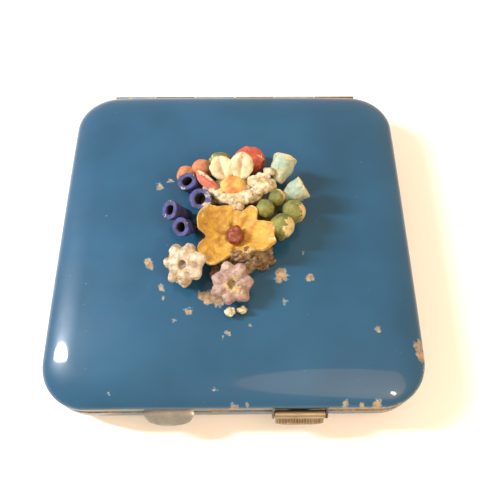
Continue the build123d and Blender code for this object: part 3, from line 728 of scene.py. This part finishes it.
class CompactLid(bpy.types.Operator):
    """Lid: a pillow-shaped shell, its mirror in a plated frame, and the ears that hold the catch."""

    bl_idname = "compact.lid"
    bl_label = "Lid"

    def execute(self, context):
        case = context.scene.compact_case
        wall, width, drop = case.wall / MM, case.shoulder / MM, case.shoulder_drop / MM
        crown = case.crown_radius / MM

        def dome(ring, lower=0.0):
            """Height of the domed top: the crown less q^2 / (2 x crown radius), where q is the fourth
            root of x^4 + y^4, so that its level lines are rounded squares; and less lower."""
            return CROWN - np.sqrt((ring[:, :2] ** 4).sum(axis=1)) / (2 * crown) - lower

        def notch_rim(rim, notch=0.3):
            """Raises the rim along the hinge over every second knuckle, which belongs to another leaf."""
            at_hinge = (rim[:, 1] > HALF - case.corner / MM / 4) & (np.abs(rim[:, 0]) < HINGE_HALF)
            pitch = 2 * HINGE_HALF / case.knuckles
            odd = np.floor((rim[:, 0] + HINGE_HALF) / pitch).astype(int) % 2 == 1
            rim[:, 2] += notch * (at_hinge & odd)

        def shell(inset, sink, outward):
            """Rings from the middle of the top out to the rim: scaled outlines on the dome, then a
            quarter of an ellipse for the shoulder. The ellipse is width across and drop deep."""
            w, d = width - inset, drop - inset
            flat = [(outline(width) * [k, k, 1], 0) for k in (0.02, 0.15, 0.35, 0.55, 0.75, 0.9)]
            turned_down = [(outline(inset + w * (1 - cos(t))), d * (1 - sin(t)))
                           for t in np.linspace(pi / 2, 0, 20)]
            rings = []
            for ring, fall in flat + turned_down:
                ring[:, 2] = dome(ring, sink) - fall
                rings.append(ring)
            rings.append(outline(inset, RIM))
            notch_rim(rings[-1])
            return rings if outward else rings[::-1]

        surface = skin(np.stack(shell(0.0, 0.0, True) + shell(wall, wall, False)))
        ear = arc((CATCH[1], CATCH[2]), 0.78, -180, 0, 14) + [(-34.8, 9.1), (-34.8, 10.2), (-35.15, 10.2)]
        thin = 0.18  # half an ear's thickness
        ears = [extruded(ear, CATCH[0] + side - thin, CATCH[0] + side + thin) for side in (-4.78, 4.78)]
        piece("lid_pillow", surface, "enamel", "lid", "blue_enamel", ["lid_shell"], smooth=40)
        piece("catch_ears", joined(*ears), "steel", "lid", "spring_steel", bevel=0.06)
        low, high = (corner[2] for corner in box_mm("mirror_frame"))
        rebate = box_mm("lid_mirror")[0][2]
        trim = [(0.6, low + 0.15), (0.6, high), (2.5, high), (2.5, rebate), (7.0, rebate), (7.0, low + 0.3),
                (6.6, low + 0.05), (6.0, low), (0.75, low)]
        piece("mirror_trim", swept(trim), "nickel", "lid", "nickel_plate", ["mirror_frame"])
        dress_node("lid_mirror", "mirror")
        dress_node("mirror_backing", "card")
        return {"FINISHED"}


class CompactCatch(bpy.types.Operator):
    """Thumb catch: a rolled barrel on its pin, a ribbed lip in front and a nose behind, with the spring."""

    bl_idname = "compact.catch"
    bl_label = "Catch"

    def execute(self, context):
        x, y, z = CATCH
        radius, sheet = 0.74, 0.3
        barrel = arc((y, z), radius, 200, -150, 40) + arc((y, z), radius - sheet, -150, 200, 40)
        parts = [extruded(barrel, x - 4.5, x + 4.5)]
        path = [(y - 0.1, z - radius + 0.15), (y - 0.45, z - 0.95), (y - 0.8, z - 1.35),
                (y - 1.15, z - 1.75), (y - 1.4, z - 2.0)]
        parts.append(lip(x, path, 4.4, 4.3, 0.13, 0.12))
        nose_low = box_mm("lid_catch")[0][2]
        nose = [(y + 0.45, z - 0.4), (y + 0.75, z - 0.3), (y + 0.75, nose_low + 0.35),
                (y + 0.55, nose_low + 0.3), (y + 0.45, nose_low + 0.5)]
        parts.append(extruded(nose, x - 2.0, x + 2.0))
        piece("thumb_catch", joined(*parts), "nickel", "catch", "nickel_plate", ["lid_catch"],
              bevel=0.04, smooth=50)
        dress_node("catch_pin", "steel")
        low, high = box_mm("catch_spring")
        turns, wire = 9, 0.07
        t = np.linspace(0, 1, 360)
        coil = (high[2] - low[2]) / 2 - wire
        angle = 2 * pi * turns * t
        line = np.column_stack([low[0] + wire + (high[0] - low[0] - 2 * wire) * t,
                                y + coil * np.cos(angle), z + coil * np.sin(angle)])
        radial = np.column_stack([0 * t, np.cos(angle), np.sin(angle)])
        phase = np.linspace(0, 2 * pi, 8, endpoint=False)
        rings = line[:, None] + wire * (np.cos(phase)[None, :, None] * radial[:, None]
                                        + np.sin(phase)[None, :, None] * np.array([1.0, 0.0, 0.0]))
        piece("catch_coil", skin(rings), "steel", "lid", "spring_steel", ["catch_spring"])
        return {"FINISHED"}


class CompactMound(bpy.types.Operator):
    """Mound of paste that the flowers stand in, its torn crust, and the crumbs at its foot."""

    bl_idname = "compact.mound"
    bl_label = "Mound"

    def execute(self, context):
        crown = context.scene.compact_case.crown_radius / MM
        low, high = box_mm("plaster_mound")
        middle = (low + high) / 2
        reach = (high - low) / 2
        share = np.linspace(0, pi / 2, 26)[:, None]
        angle = np.linspace(0, 2 * pi, 90, endpoint=False)[None, :]
        flow = 1 + 0.05 * np.sin(3 * angle + 1) + 0.04 * np.sin(7 * angle)
        radius = np.cos(share) ** 0.7 * flow + 0.004
        top = (high[2] - CROWN) * 0.98
        wide, deep, back, sunk = 0.76, 0.78, 1.2, 0.15  # smaller than its solid, so that flowers overhang
        rings = np.stack([middle[0] + wide * reach[0] * radius * np.cos(angle),
                          middle[1] + back + deep * reach[1] * radius * np.sin(angle),
                          CROWN - sunk + top * np.sin(share) * np.ones_like(angle)], axis=2)
        rings = roughened(rings, 0.35, 1.9, 3)
        rings[..., 2] -= np.sqrt((rings[..., :2] ** 4).sum(axis=-1)) / (2 * crown)  # follows the dome
        grimy = [(4.9, -8.2, 1.6, (1.7, 1.5, 1.7)), (6.0, -6.8, 1.4, (1.3, 1.6, 1.5)),
                 (3.6, -9.2, 1.7, (1.6, 1.3, 1.8)), (1.0, -8.8, 2.8, (2.4, 1.1, 1.5)),
                 (3.2, -8.1, 3.1, (1.8, 1.1, 1.4)), (2.4, -10.4, 1.6, (1.3, 1.2, 1.6)),
                 (6.6, -8.4, 0.3, (1.3, 1.0, 0.6)), (5.4, -9.6, 0.2, (1.3, 0.9, 0.5)),
                 (-5.0, 3.6, 3.0, (1.7, 1.6, 1.9)), (-3.0, -11.0, 0.8, (1.6, 1.4, 1.2))]
        surface = joined(skin(rings), blobs(grimy, 40, 0.32, 1.1))
        bloom("paste_mound", surface, "grime", "bare_plaster", ["plaster_mound"])
        foot = box_mm("paste_crumbs")[0][1] + 1.1
        crumbs = [(-0.7, foot, 0.65, (0.95, 0.85, 0.85)), (1.5, foot + 0.35, 0.5, (0.95, 0.7, 0.65))]
        bloom("loose_crumbs", blobs(crumbs, 70, 0.16, 1.0), "crumb", "bare_plaster", ["paste_crumbs"])
        return {"FINISHED"}


class CompactDaisy(bpy.types.Operator):
    """Daisy: two plump grooved petals, one seen edge on, a broken side of bare paste, and the eye."""

    bl_idname = "compact.daisy"
    bl_label = "Daisy"

    def execute(self, context):
        eye = context.scene.compact_posy.eye / MM
        whole = [
            (5.4, 4.8, 2.1, (-1.5, 6.1, 5.8), (-3.1, 11.2, 7.0)),
            (5.9, 4.6, 2.1, (1.3, 6.2, 5.8), (1.8, 12.1, 7.1)),
        ]
        surfaces, worn = [], []
        for step, (length, width, thick, root, tip) in enumerate(whole):
            rings = petal(length, width, thick, groove=0.6, cup=0.35, lift=-0.25, blunt=0.95)
            streak = np.exp(-(rings[..., 1] / 0.3) ** 2) * np.clip(rings[..., 0] / length * 2.4 - 0.9, 0, 1)
            worn.append(np.append((streak * (rings[..., 2] > 0.1)).ravel(), [0, 0]))
            rings = roughened(rings, 0.1, 1.5, 11 + step)
            surfaces.append(skin(aimed(rings, on_lid(root), on_lid(tip))))
        spots = [(-2.9, 3.1, 5.6, (1.2, 0.9, 0.95)), (-1.5, 2.1, 5.7, (1.3, 0.9, 0.95)),
                 (0.1, 1.5, 5.6, (1.3, 0.95, 1.0)), (1.6, 1.7, 5.7, (1.3, 0.9, 1.0)),
                 (3.1, 2.6, 5.7, (1.4, 1.0, 1.05)), (4.5, 3.7, 5.7, (1.3, 1.1, 1.1)),
                 (0.9, 0.5, 5.2, (1.1, 0.7, 1.0)), (4.3, 5.9, 5.7, (1.9, 1.3, 0.95)),
                 (5.9, 5.0, 5.7, (2.0, 1.6, 1.15)), (7.1, 5.2, 5.6, (1.25, 1.2, 1.0)),
                 (5.6, 6.9, 5.8, (1.5, 1.0, 0.8)), (6.8, 8.0, 6.0, (1.2, 0.85, 0.7)),
                 (-5.2, 4.9, 5.0, (0.8, 0.7, 0.8)), (-4.1, 3.9, 5.2, (1.0, 0.8, 0.8)),
                 (-0.1, 4.6, 4.0, (4.6, 3.0, 2.3)), (-0.6, 2.6, 5.0, (3.0, 1.2, 1.5)),
                 (2.6, 2.9, 5.1, (2.6, 1.4, 1.4))]
        bloom("daisy_petal_pair", joined(*surfaces), "cream", "cream_paint", ["daisy_petals"],
              wear=np.concatenate(worn))
        bloom("daisy_torn_side", blobs(spots, 90, 0.2, 1.3), "crumb", "cream_paint")
        side = petal(5.4, 2.3, 0.95, groove=0.15, cup=0.9, lift=0.4, blunt=1.0)
        roll = radians(-52)
        side = side @ np.array([[1, 0, 0], [0, cos(roll), sin(roll)], [0, -sin(roll), cos(roll)]])
        side = aimed(roughened(side, 0.05, 1.5, 21), on_lid((-3.0, 4.2, 6.0)), on_lid((-7.2, 8.0, 6.8)))
        points, faces = skin(side)
        edge = np.clip((points[:, 2] - np.median(points[:, 2])) * 0.9, 0, 1)
        bloom("daisy_side_petal", (points, faces), "pink", "cream_paint", wear=edge)
        rings = ball((eye, eye * 0.9, 1.25), 30, 56)
        rings = roughened(rings, 0.13, 1.3, 31)
        bloom("daisy_eye", skin(placed(rings, on_lid((-0.1, 4.55, 5.95)), (0.05, -0.28, 0.96))),
              "orange", "orange_paint", ["daisy_centre"])
        return {"FINISHED"}


class CompactYellow(bpy.types.Operator):
    """Yellow flower: broad cupped petals round a bowl, and a varnished ball in the middle."""

    bl_idname = "compact.yellow"
    bl_label = "Yellow flower"

    def execute(self, context):
        middle = on_lid((0.1, -5.0, 3.1))
        bowl, bowl_top, count = 4.3, 4.6, 220
        # direction in degrees, half width in degrees, reach from the middle, height over the crown
        lobes = [(148, 31, 7.2, 6.9), (54, 17, 6.3, 6.2), (-4, 33, 7.5, 6.1), (-141, 29, 7.5, 5.0),
                 (-82, 26, 3.9, 4.0), (97, 20, 5.6, 5.9)]
        angle = np.linspace(-180, 180, count, endpoint=False)
        reach, top, ridge = np.full(count, bowl), np.full(count, bowl_top), np.zeros(count)
        for direction, half, length, up in lobes:
            away = (angle - direction + 180) % 360 - 180
            swell = np.exp(-(away / half) ** 4)
            reach += swell * (length - bowl)
            top += swell * (up - bowl_top)
            ridge += np.exp(-(away / (half * 0.55)) ** 2)
        turn = np.radians(angle)
        circle = 4 * np.column_stack([np.cos(turn), np.sin(turn), 0 * turn])
        reach *= 1 + 0.035 * lumps(circle, 1.2, 55)
        share = np.concatenate([np.linspace(0.04, 1, 34), [1.035, 1.03], np.linspace(1, 0.3, 16)])[:, None]
        under = np.concatenate([np.zeros(34), [0.3, 0.7], np.full(16, 1.0)])[:, None]
        run = np.minimum(share, 1.0)
        height = (CROWN + top - middle[2]) * run ** 1.9 - 0.55 * ridge * np.sin(pi * run) * (1 - under * 0.5)
        curl = 0.09 * np.sin(run * 19 + ridge * 2.5) * np.clip(run - 0.45, 0, 1) * (1 - under)
        rings = np.stack([reach * share * np.cos(turn), reach * share * np.sin(turn),
                          height + curl - under * (0.95 + 0.9 * (1 - run))], axis=2)
        rings = kneaded(rings, 0.15, 1.8, 51, (0.05, 0.5, 1))
        rim = np.clip((share - 0.86) * 5, 0, 1) * (1 - 0.6 * under)
        flaked = 0.55 * np.clip(lumps(rings, 3.4, 57) * 2, 0, 1) * np.clip(share * 2 - 1.2, 0, 1)
        worn = np.clip(rim + flaked, 0, 1)
        bloom("yellow_flower", skin(rings + middle), "yellow", "yellow_paint", ["yellow_petals"],
              wear=np.append(worn.ravel(), [0, 0]))
        centre = roughened(ball((1.7, 1.85, 1.45), 24, 40), 0.2, 1.3, 63)
        bloom("yellow_flower_ball", skin(centre + on_lid((0.25, -4.9, 4.15))), "garnet", "red_glaze",
              ["yellow_centre"])
        return {"FINISHED"}


class CompactBells(bpy.types.Operator):
    """Four bell flowers: short thick tubes, flat-lipped and bored, leaning out to the left."""

    bl_idname = "compact.bells"
    bl_label = "Bell flowers"

    def execute(self, context):
        posy = context.scene.compact_posy
        mouth, length, segments = posy.bell_mouth / MM, posy.bell_length / MM, 56
        bore, most_worn = 9.2, 2  # station where the bore begins, and the bell worn down one side
        # Place on the lid, the way it faces, size and the side that is worn.
        heads = [((-9.0, 6.0, 5.9), (-0.25, -0.10, 0.96), 0.97, (0.2, -0.9, 0.3)),
                 ((-6.3, 1.6, 6.6), (-0.2, -0.3, 0.93), 1.08, (0.9, -0.2, 0.3)),
                 ((-12.2, 0.2, 4.9), (-0.62, -0.2, 0.75), 1.0, (-0.6, -0.5, 0.6)),
                 ((-9.9, -3.7, 5.2), (-0.4, -0.42, 0.82), 0.92, (0.5, -0.9, 0.1))]
        for index, (place, facing, size, worn_side) in enumerate(heads, start=1):
            edge = mouth * size
            steps, fine = refined(
                [(0.5, -length), (0.9, -length + 0.1), (1.15, -length * 0.75), (1.5, -length * 0.4),
                 (edge - 0.12, -0.9), (edge, -0.35), (edge - 0.02, -0.1), (edge - 0.12, 0.0),
                 (1.2 * size, 0.0), (1.02 * size, -0.1), (0.95 * size, -0.45), (0.88, -1.6),
                 (0.75, -3.2), (0.3, -3.4)], 52)
            rings = turned(fine, segments)
            wobble = 1 + 0.035 * np.sin(2 * np.arctan2(rings[..., 1], rings[..., 0]) + index)
            rings[..., :2] *= wobble[..., None]
            rings = kneaded(rings, 0.1, 1.6, 100 + index)
            head = on_lid(place)
            surface = skin(placed(rings, head, facing))
            top = per_point(np.clip((fine[:, 1] + 0.5) * 1.6, 0, 1), segments, [0, 0])
            # Inside the bore the paste goes to near black and is not worn: partly dark paint, partly painted
            # shade.
            bore_paint_and_shade = per_point(np.clip((steps - bore) * 1.2, 0, 0.93), segments, [0, 0.93])
            spread, share = (1.3, 1.3) if index == most_worn else (0.8, 0.55)
            side = towards(surface[0], worn_side, head - 1.2 * np.array(facing), spread)
            worn = np.clip(0.3 * top + share * side, 0, 1) * (1 - bore_paint_and_shade)
            bloom(f"blue_bell_{index}", surface, "cobalt", "cobalt_paint", [f"bell_flower_{index}"],
                  wear=worn, deep=bore_paint_and_shade)
        return {"FINISHED"}


class CompactBerries(bpy.types.Operator):
    """Four green berries, cream and yellow on their right sides: partly chipped paint, partly painted
    light.
    """

    bl_idname = "compact.berries"
    bl_label = "Berries"

    def execute(self, context):
        # Place on the lid, radius, the side that turns cream, and how far round it goes.
        rows = [((6.0, 0.2, 5.4), 1.75, (0.9, 0.2, 0.4), 0.5),
                ((11.4, 0.2, 4.2), 2.25, (1.0, 0.0, 0.15), 1.2),
                ((9.1, -3.2, 4.7), 2.3, (0.9, -0.35, 0.35), 1.2),
                ((8.2, 2.9, 5.0), 1.6, (0.9, 0.5, 0.3), 1.1)]
        for index, (place, radius, side, spread) in enumerate(rows, start=1):
            rings = kneaded(ball((radius,) * 3, 44, 72), 0.12, 1.8, 120 + index)
            centre = on_lid(place) - [0, 0, 0.2]
            stalk = turned([(0.9, -4.4), (1.0, -2.0), (0.9, -0.8)], 24)
            surface = joined(skin(rings + centre), skin(stalk + centre))
            # The right side turns to cream and yellow paste: partly chipped paint, partly painted light on
            # the lit side.
            worn = np.clip(towards(surface[0], side, centre, spread) * 1.5 - 0.42, 0, 1)
            bloom(f"green_berry_{index}", surface, "green", "green_paint", [f"berry_{index}"], wear=worn)
        return {"FINISHED"}


class CompactTubes(bpy.types.Operator):
    """Two aqua trumpet flowers that lie outwards, with their ends worn to cream. Their upper sides are
    turned cream as painted light, and one is cracked.
    """

    bl_idname = "compact.tubes"
    bl_label = "Trumpet flowers"

    def execute(self, context):
        segments = 52
        rows = [((10.2, 11.6, 5.4), (0.33, 0.90, 0.28), 2.3, 5.4, 0.015),
                ((13.6, 5.2, 4.9), (0.86, 0.36, 0.36), 2.2, 4.6, 0.05)]
        for index, (place, facing, radius, length, crack_depth) in enumerate(rows, start=1):
            fine = refined(
                [(0.6, -length), (1.0, -length + 0.1), (1.3, -length * 0.85), (1.6, -length * 0.7),
                 (radius - 0.18, -length * 0.55), (radius - 0.08, -1.4), (radius + 0.06, -0.4),
                 (radius + 0.12, -0.1), (radius, 0.05), (radius - 0.5, 0.06), (0.6, -0.1)], 44)[1]
            rings = turned(fine, segments)
            crack = np.exp(-((rings[..., 2] + length * 0.27 + 0.12 * np.sin(rings[..., 0] * 3)) / 0.09) ** 2)
            rings[..., :2] *= (1 - crack_depth * crack)[..., None]
            rings = kneaded(rings, 0.1, 1.8, 140 + index)
            head = on_lid(place)
            surface = skin(placed(rings, head, facing))
            end = per_point(np.clip((fine[:, 1] + 1.2) / 1.2, 0, 1), segments, [0, 1])
            neck = per_point(np.clip(-fine[:, 1] - length * 0.62, 0, 1), segments, [0, 0])
            # The upper side turns to cream paste as painted light, where the light falls. The ends and the
            # neck are worn.
            upper = towards(surface[0], (0.4, -0.2, 0.9), head, 0.5)
            worn = np.clip(end * 0.75 + neck * 0.7 + 0.6 * upper, 0, 1)
            bloom(f"trumpet_{index}", surface, "aqua", "aqua_paint", [f"tube_flower_{index}"], wear=worn)
        return {"FINISHED"}


class CompactFlorets(bpy.types.Operator):
    """Two thick florets with rounded lobes and a hole in the middle."""

    bl_idname = "compact.florets"
    bl_label = "Florets"

    def execute(self, context):
        posy = context.scene.compact_posy
        rows = [((-9.4, -11.1, 4.6), (-0.28, -0.34, 0.90), 1.03, "white", "cream_paint", 12),
                ((-0.4, -14.8, 4.5), (0.06, -0.46, 0.88), 1.0, "lilac", "lilac_paint", 5)]
        steps, fine = refined(
            [(0.1, -0.75), (0.13, -0.7), (0.16, -0.35), (0.2, -0.05), (0.27, 0.1), (0.45, 0.1),
             (0.65, 0.0), (0.84, -0.2), (0.95, -0.55), (1.0, -1.0), (0.97, -1.5), (0.84, -1.95),
             (0.66, -2.2), (0.5, -2.7), (0.36, -3.6), (0.2, -3.8)], 56)
        share, height = fine.T[:, :, None]
        segments = 120
        angle = np.linspace(0, 2 * pi, segments, endpoint=False)
        for index, (place, facing, size, key, slot, spin) in enumerate(rows, start=1):
            reach = posy.floret_reach / MM * size
            ripple = (0.5 + 0.5 * np.cos(posy.floret_lobes * angle)) ** 0.75
            uneven = 1 + 0.06 * np.sin(angle + index) + 0.05 * np.sin(3 * angle + 2 * index)
            depth = 0.2 * np.clip((share - 0.4) / 0.4, 0, 1) * (height > -2.6)
            radius = reach * share * uneven * (1 - depth * (1 - ripple))
            fold = 0.3 * (1 - ripple) * np.clip((share - 0.3) * 1.6, 0, 1) * (height > -0.9)
            rings = np.stack([radius * np.cos(angle), radius * np.sin(angle), height - fold], axis=2)
            rings = kneaded(rings, 0.2, 1.8, 160 + index, (0.05, 0.7, 10))
            head = on_lid(place)
            surface = skin(placed(rings, head, facing, spin))
            heart = np.exp(-(np.linalg.norm(surface[0] - head, axis=1) / 1.9) ** 2)
            # Tan paste shows at the heart, where the paint is worn, and on the lower front side as painted
            # shade.
            worn = np.clip(heart + 0.5 * towards(surface[0], (0.3, -0.8, -0.2), head, 0.8), 0, 1)
            # The centre hole goes half way to near black: partly dark paint, partly painted shade.
            hole = per_point(np.clip((11 - steps * 3.7) / 9, 0, 0.5), segments, [0.5, 0])
            bloom(f"lobed_floret_{index}", surface, key, slot, [f"floret_{index}"], wear=worn, deep=hole)
        return {"FINISHED"}


class CompactBuds(bpy.types.Operator):
    """Coral, green and salmon buds behind the daisy: uneven balls with a wrapped edge."""

    bl_idname = "compact.buds"
    bl_label = "Buds"

    def execute(self, context):
        rows = [("red_bud", "coral", "coral_paint", (3.1, 13.1, 2.4), (3.3, 2.9, 2.6), (0.7, -0.5, 0.45)),
                ("green_bud", "green", "green_paint", (-2.7, 13.0, 2.2), (2.4, 1.8, 2.1), (-0.8, 0.2, 0.4)),
                ("orange_bud_1", "salmon", "orange_paint", (-6.4, 11.0, 2.4), (2.2, 1.9, 2.2),
                 (0.5, 0.5, 0.6)),
                ("orange_bud_2", "salmon", "orange_paint", (-9.6, 9.7, 2.0), (2.0, 1.9, 2.1),
                 (0.2, 0.8, 0.4))]
        for index, (node, key, slot, place, radii, side) in enumerate(rows):
            rings = ball(radii, 44, 76)
            swirl = np.arctan2(rings[..., 1], rings[..., 0]) + rings[..., 2] * 0.5
            rings *= (1 - 0.05 * np.exp(-(np.sin(swirl) / 0.18) ** 2))[..., None]
            rings = kneaded(rings, 0.14, 1.8, 180 + index)
            centre = on_lid(place)
            surface = skin(rings + centre)
            worn = np.clip(towards(surface[0], side, centre) * 2.2 - 1.5, 0, 1)
            bloom(node + "_ball", surface, key, slot, [node], wear=worn)
        return {"FINISHED"}


class CompactStage(bpy.types.Operator):
    """Pale floor, cool light from the left, a small and a broad warm light in front, and the camera."""

    bl_idname = "compact.stage"
    bl_label = "Stage"

    def execute(self, context):
        scene = context.scene
        half = 1.5
        mesh = bpy.data.meshes.new("floor")
        mesh.from_pydata([(-half, -half, 0), (half, -half, 0), (half, half, 0), (-half, half, 0)], [],
                         [(0, 1, 2, 3)])
        material, tree, shader, where = begin("white_card", 0.9)
        fibre = add(tree, "TexNoise", {"Vector": where, "Scale": per_mm(30), "Detail": 3.0})
        tint = add(tree, "Mix", {0: fibre, 6: linear("f1ede6"), 7: linear("edeae4")}, **COLOURS)
        dress(tree, shader, Base_Color=tint)
        mesh.materials.append(material)
        floor = bpy.data.objects.new("floor", mesh)
        scene.collection.objects.link(floor)
        world = bpy.data.worlds.new("room")
        world.use_nodes = True
        sky = world.node_tree.nodes["Background"]
        sky.inputs["Color"].default_value = (1.0, 0.83, 0.67, 1.0)
        sky.inputs["Strength"].default_value = 0.93
        scene.world = world
        # Name, direction from the lid's middle, distance, width and height in metres, watts, colour.
        lights = [("daylight", (-0.76, 0.075, 0.645), 0.3, (0.024, 0.11), 1.42, (0.9, 0.94, 1.0)),
                  ("lamp", (0.514, -0.531, 0.673), 0.53, (0.045, 0.09), 0.75, (1.0, 0.86, 0.68)),
                  ("warm_fill", (0.38, -0.4, 0.83), 0.6, (0.44, 0.62), 1.85, (1.0, 0.64, 0.37))]
        for name, direction, distance, (width, height), power, colour in lights:
            data = bpy.data.lights.new(name, "AREA")
            data.shape = "ELLIPSE"
            data.size = width
            data.size_y = height
            data.energy = power
            data.color = colour
            lamp = bpy.data.objects.new(name, data)
            aim = Vector(direction).normalized()
            lamp.location = Vector((0, 0, CROWN * MM)) + aim * distance
            lamp.rotation_euler = aim.to_track_quat("Z", "Y").to_euler()
            scene.collection.objects.link(lamp)
        azimuth, elevation, roll = radians(-1.411), radians(64.035), radians(0.948)
        distance = 113.108 * MM
        back = Vector((sin(azimuth) * cos(elevation), -cos(azimuth) * cos(elevation), sin(elevation)))
        right = (-back).cross(Vector((0, 0, 1))).normalized()
        up = right.cross(-back)
        turned_right = right * cos(roll) + up * sin(roll)
        turned_up = up * cos(roll) - right * sin(roll)
        data = bpy.data.cameras.new("camera")
        data.lens = 40.32
        data.sensor_width = 36.0
        data.clip_start = 0.005
        camera = bpy.data.objects.new("camera", data)
        turn = Matrix((turned_right, turned_up, back)).transposed().to_4x4()
        target = Vector((3.11, -3.583, RIM + 0.3)) * MM
        camera.matrix_world = Matrix.Translation(target + back * distance) @ turn
        scene.collection.objects.link(camera)
        scene.camera = camera
        scene.view_settings.view_transform = "Standard"
        return {"FINISHED"}


OPERATORS = [CompactStage, CompactBase, CompactPowder, CompactInner, CompactHinge, CompactLid, CompactCatch,
             CompactMound, CompactDaisy, CompactYellow, CompactBells, CompactBerries, CompactTubes,
             CompactFlorets, CompactBuds]


class CompactPanel(bpy.types.Panel):
    """Lists the pieces of the compact."""

    bl_idname = "VIEW3D_PT_compact"
    bl_label = "Powder compact"
    bl_space_type = "VIEW_3D"
    bl_region_type = "UI"
    bl_category = "Compact"

    def draw(self, context):
        for group in (context.scene.compact_case, context.scene.compact_posy):
            for name in group.__annotations__:
                self.layout.prop(group, name)
        for operator in OPERATORS:
            self.layout.operator(operator.bl_idname)


CLASSES = [CompactCase, CompactPosy, CompactPanel, *OPERATORS]


def register():
    """Registers the classes and puts the sizes on the scene."""
    for item in CLASSES:
        bpy.utils.register_class(item)
    bpy.types.Scene.compact_case = PointerProperty(type=CompactCase)
    bpy.types.Scene.compact_posy = PointerProperty(type=CompactPosy)


def unregister():
    """Takes the sizes and the classes away."""
    del bpy.types.Scene.compact_posy
    del bpy.types.Scene.compact_case
    for item in reversed(CLASSES):
        bpy.utils.unregister_class(item)


def main():
    """Makes every piece in order."""
    register()
    for operator in OPERATORS:
        family, name = operator.bl_idname.split(".")
        getattr(getattr(bpy.ops, family), name)()


if __name__ == "__main__":
    main()
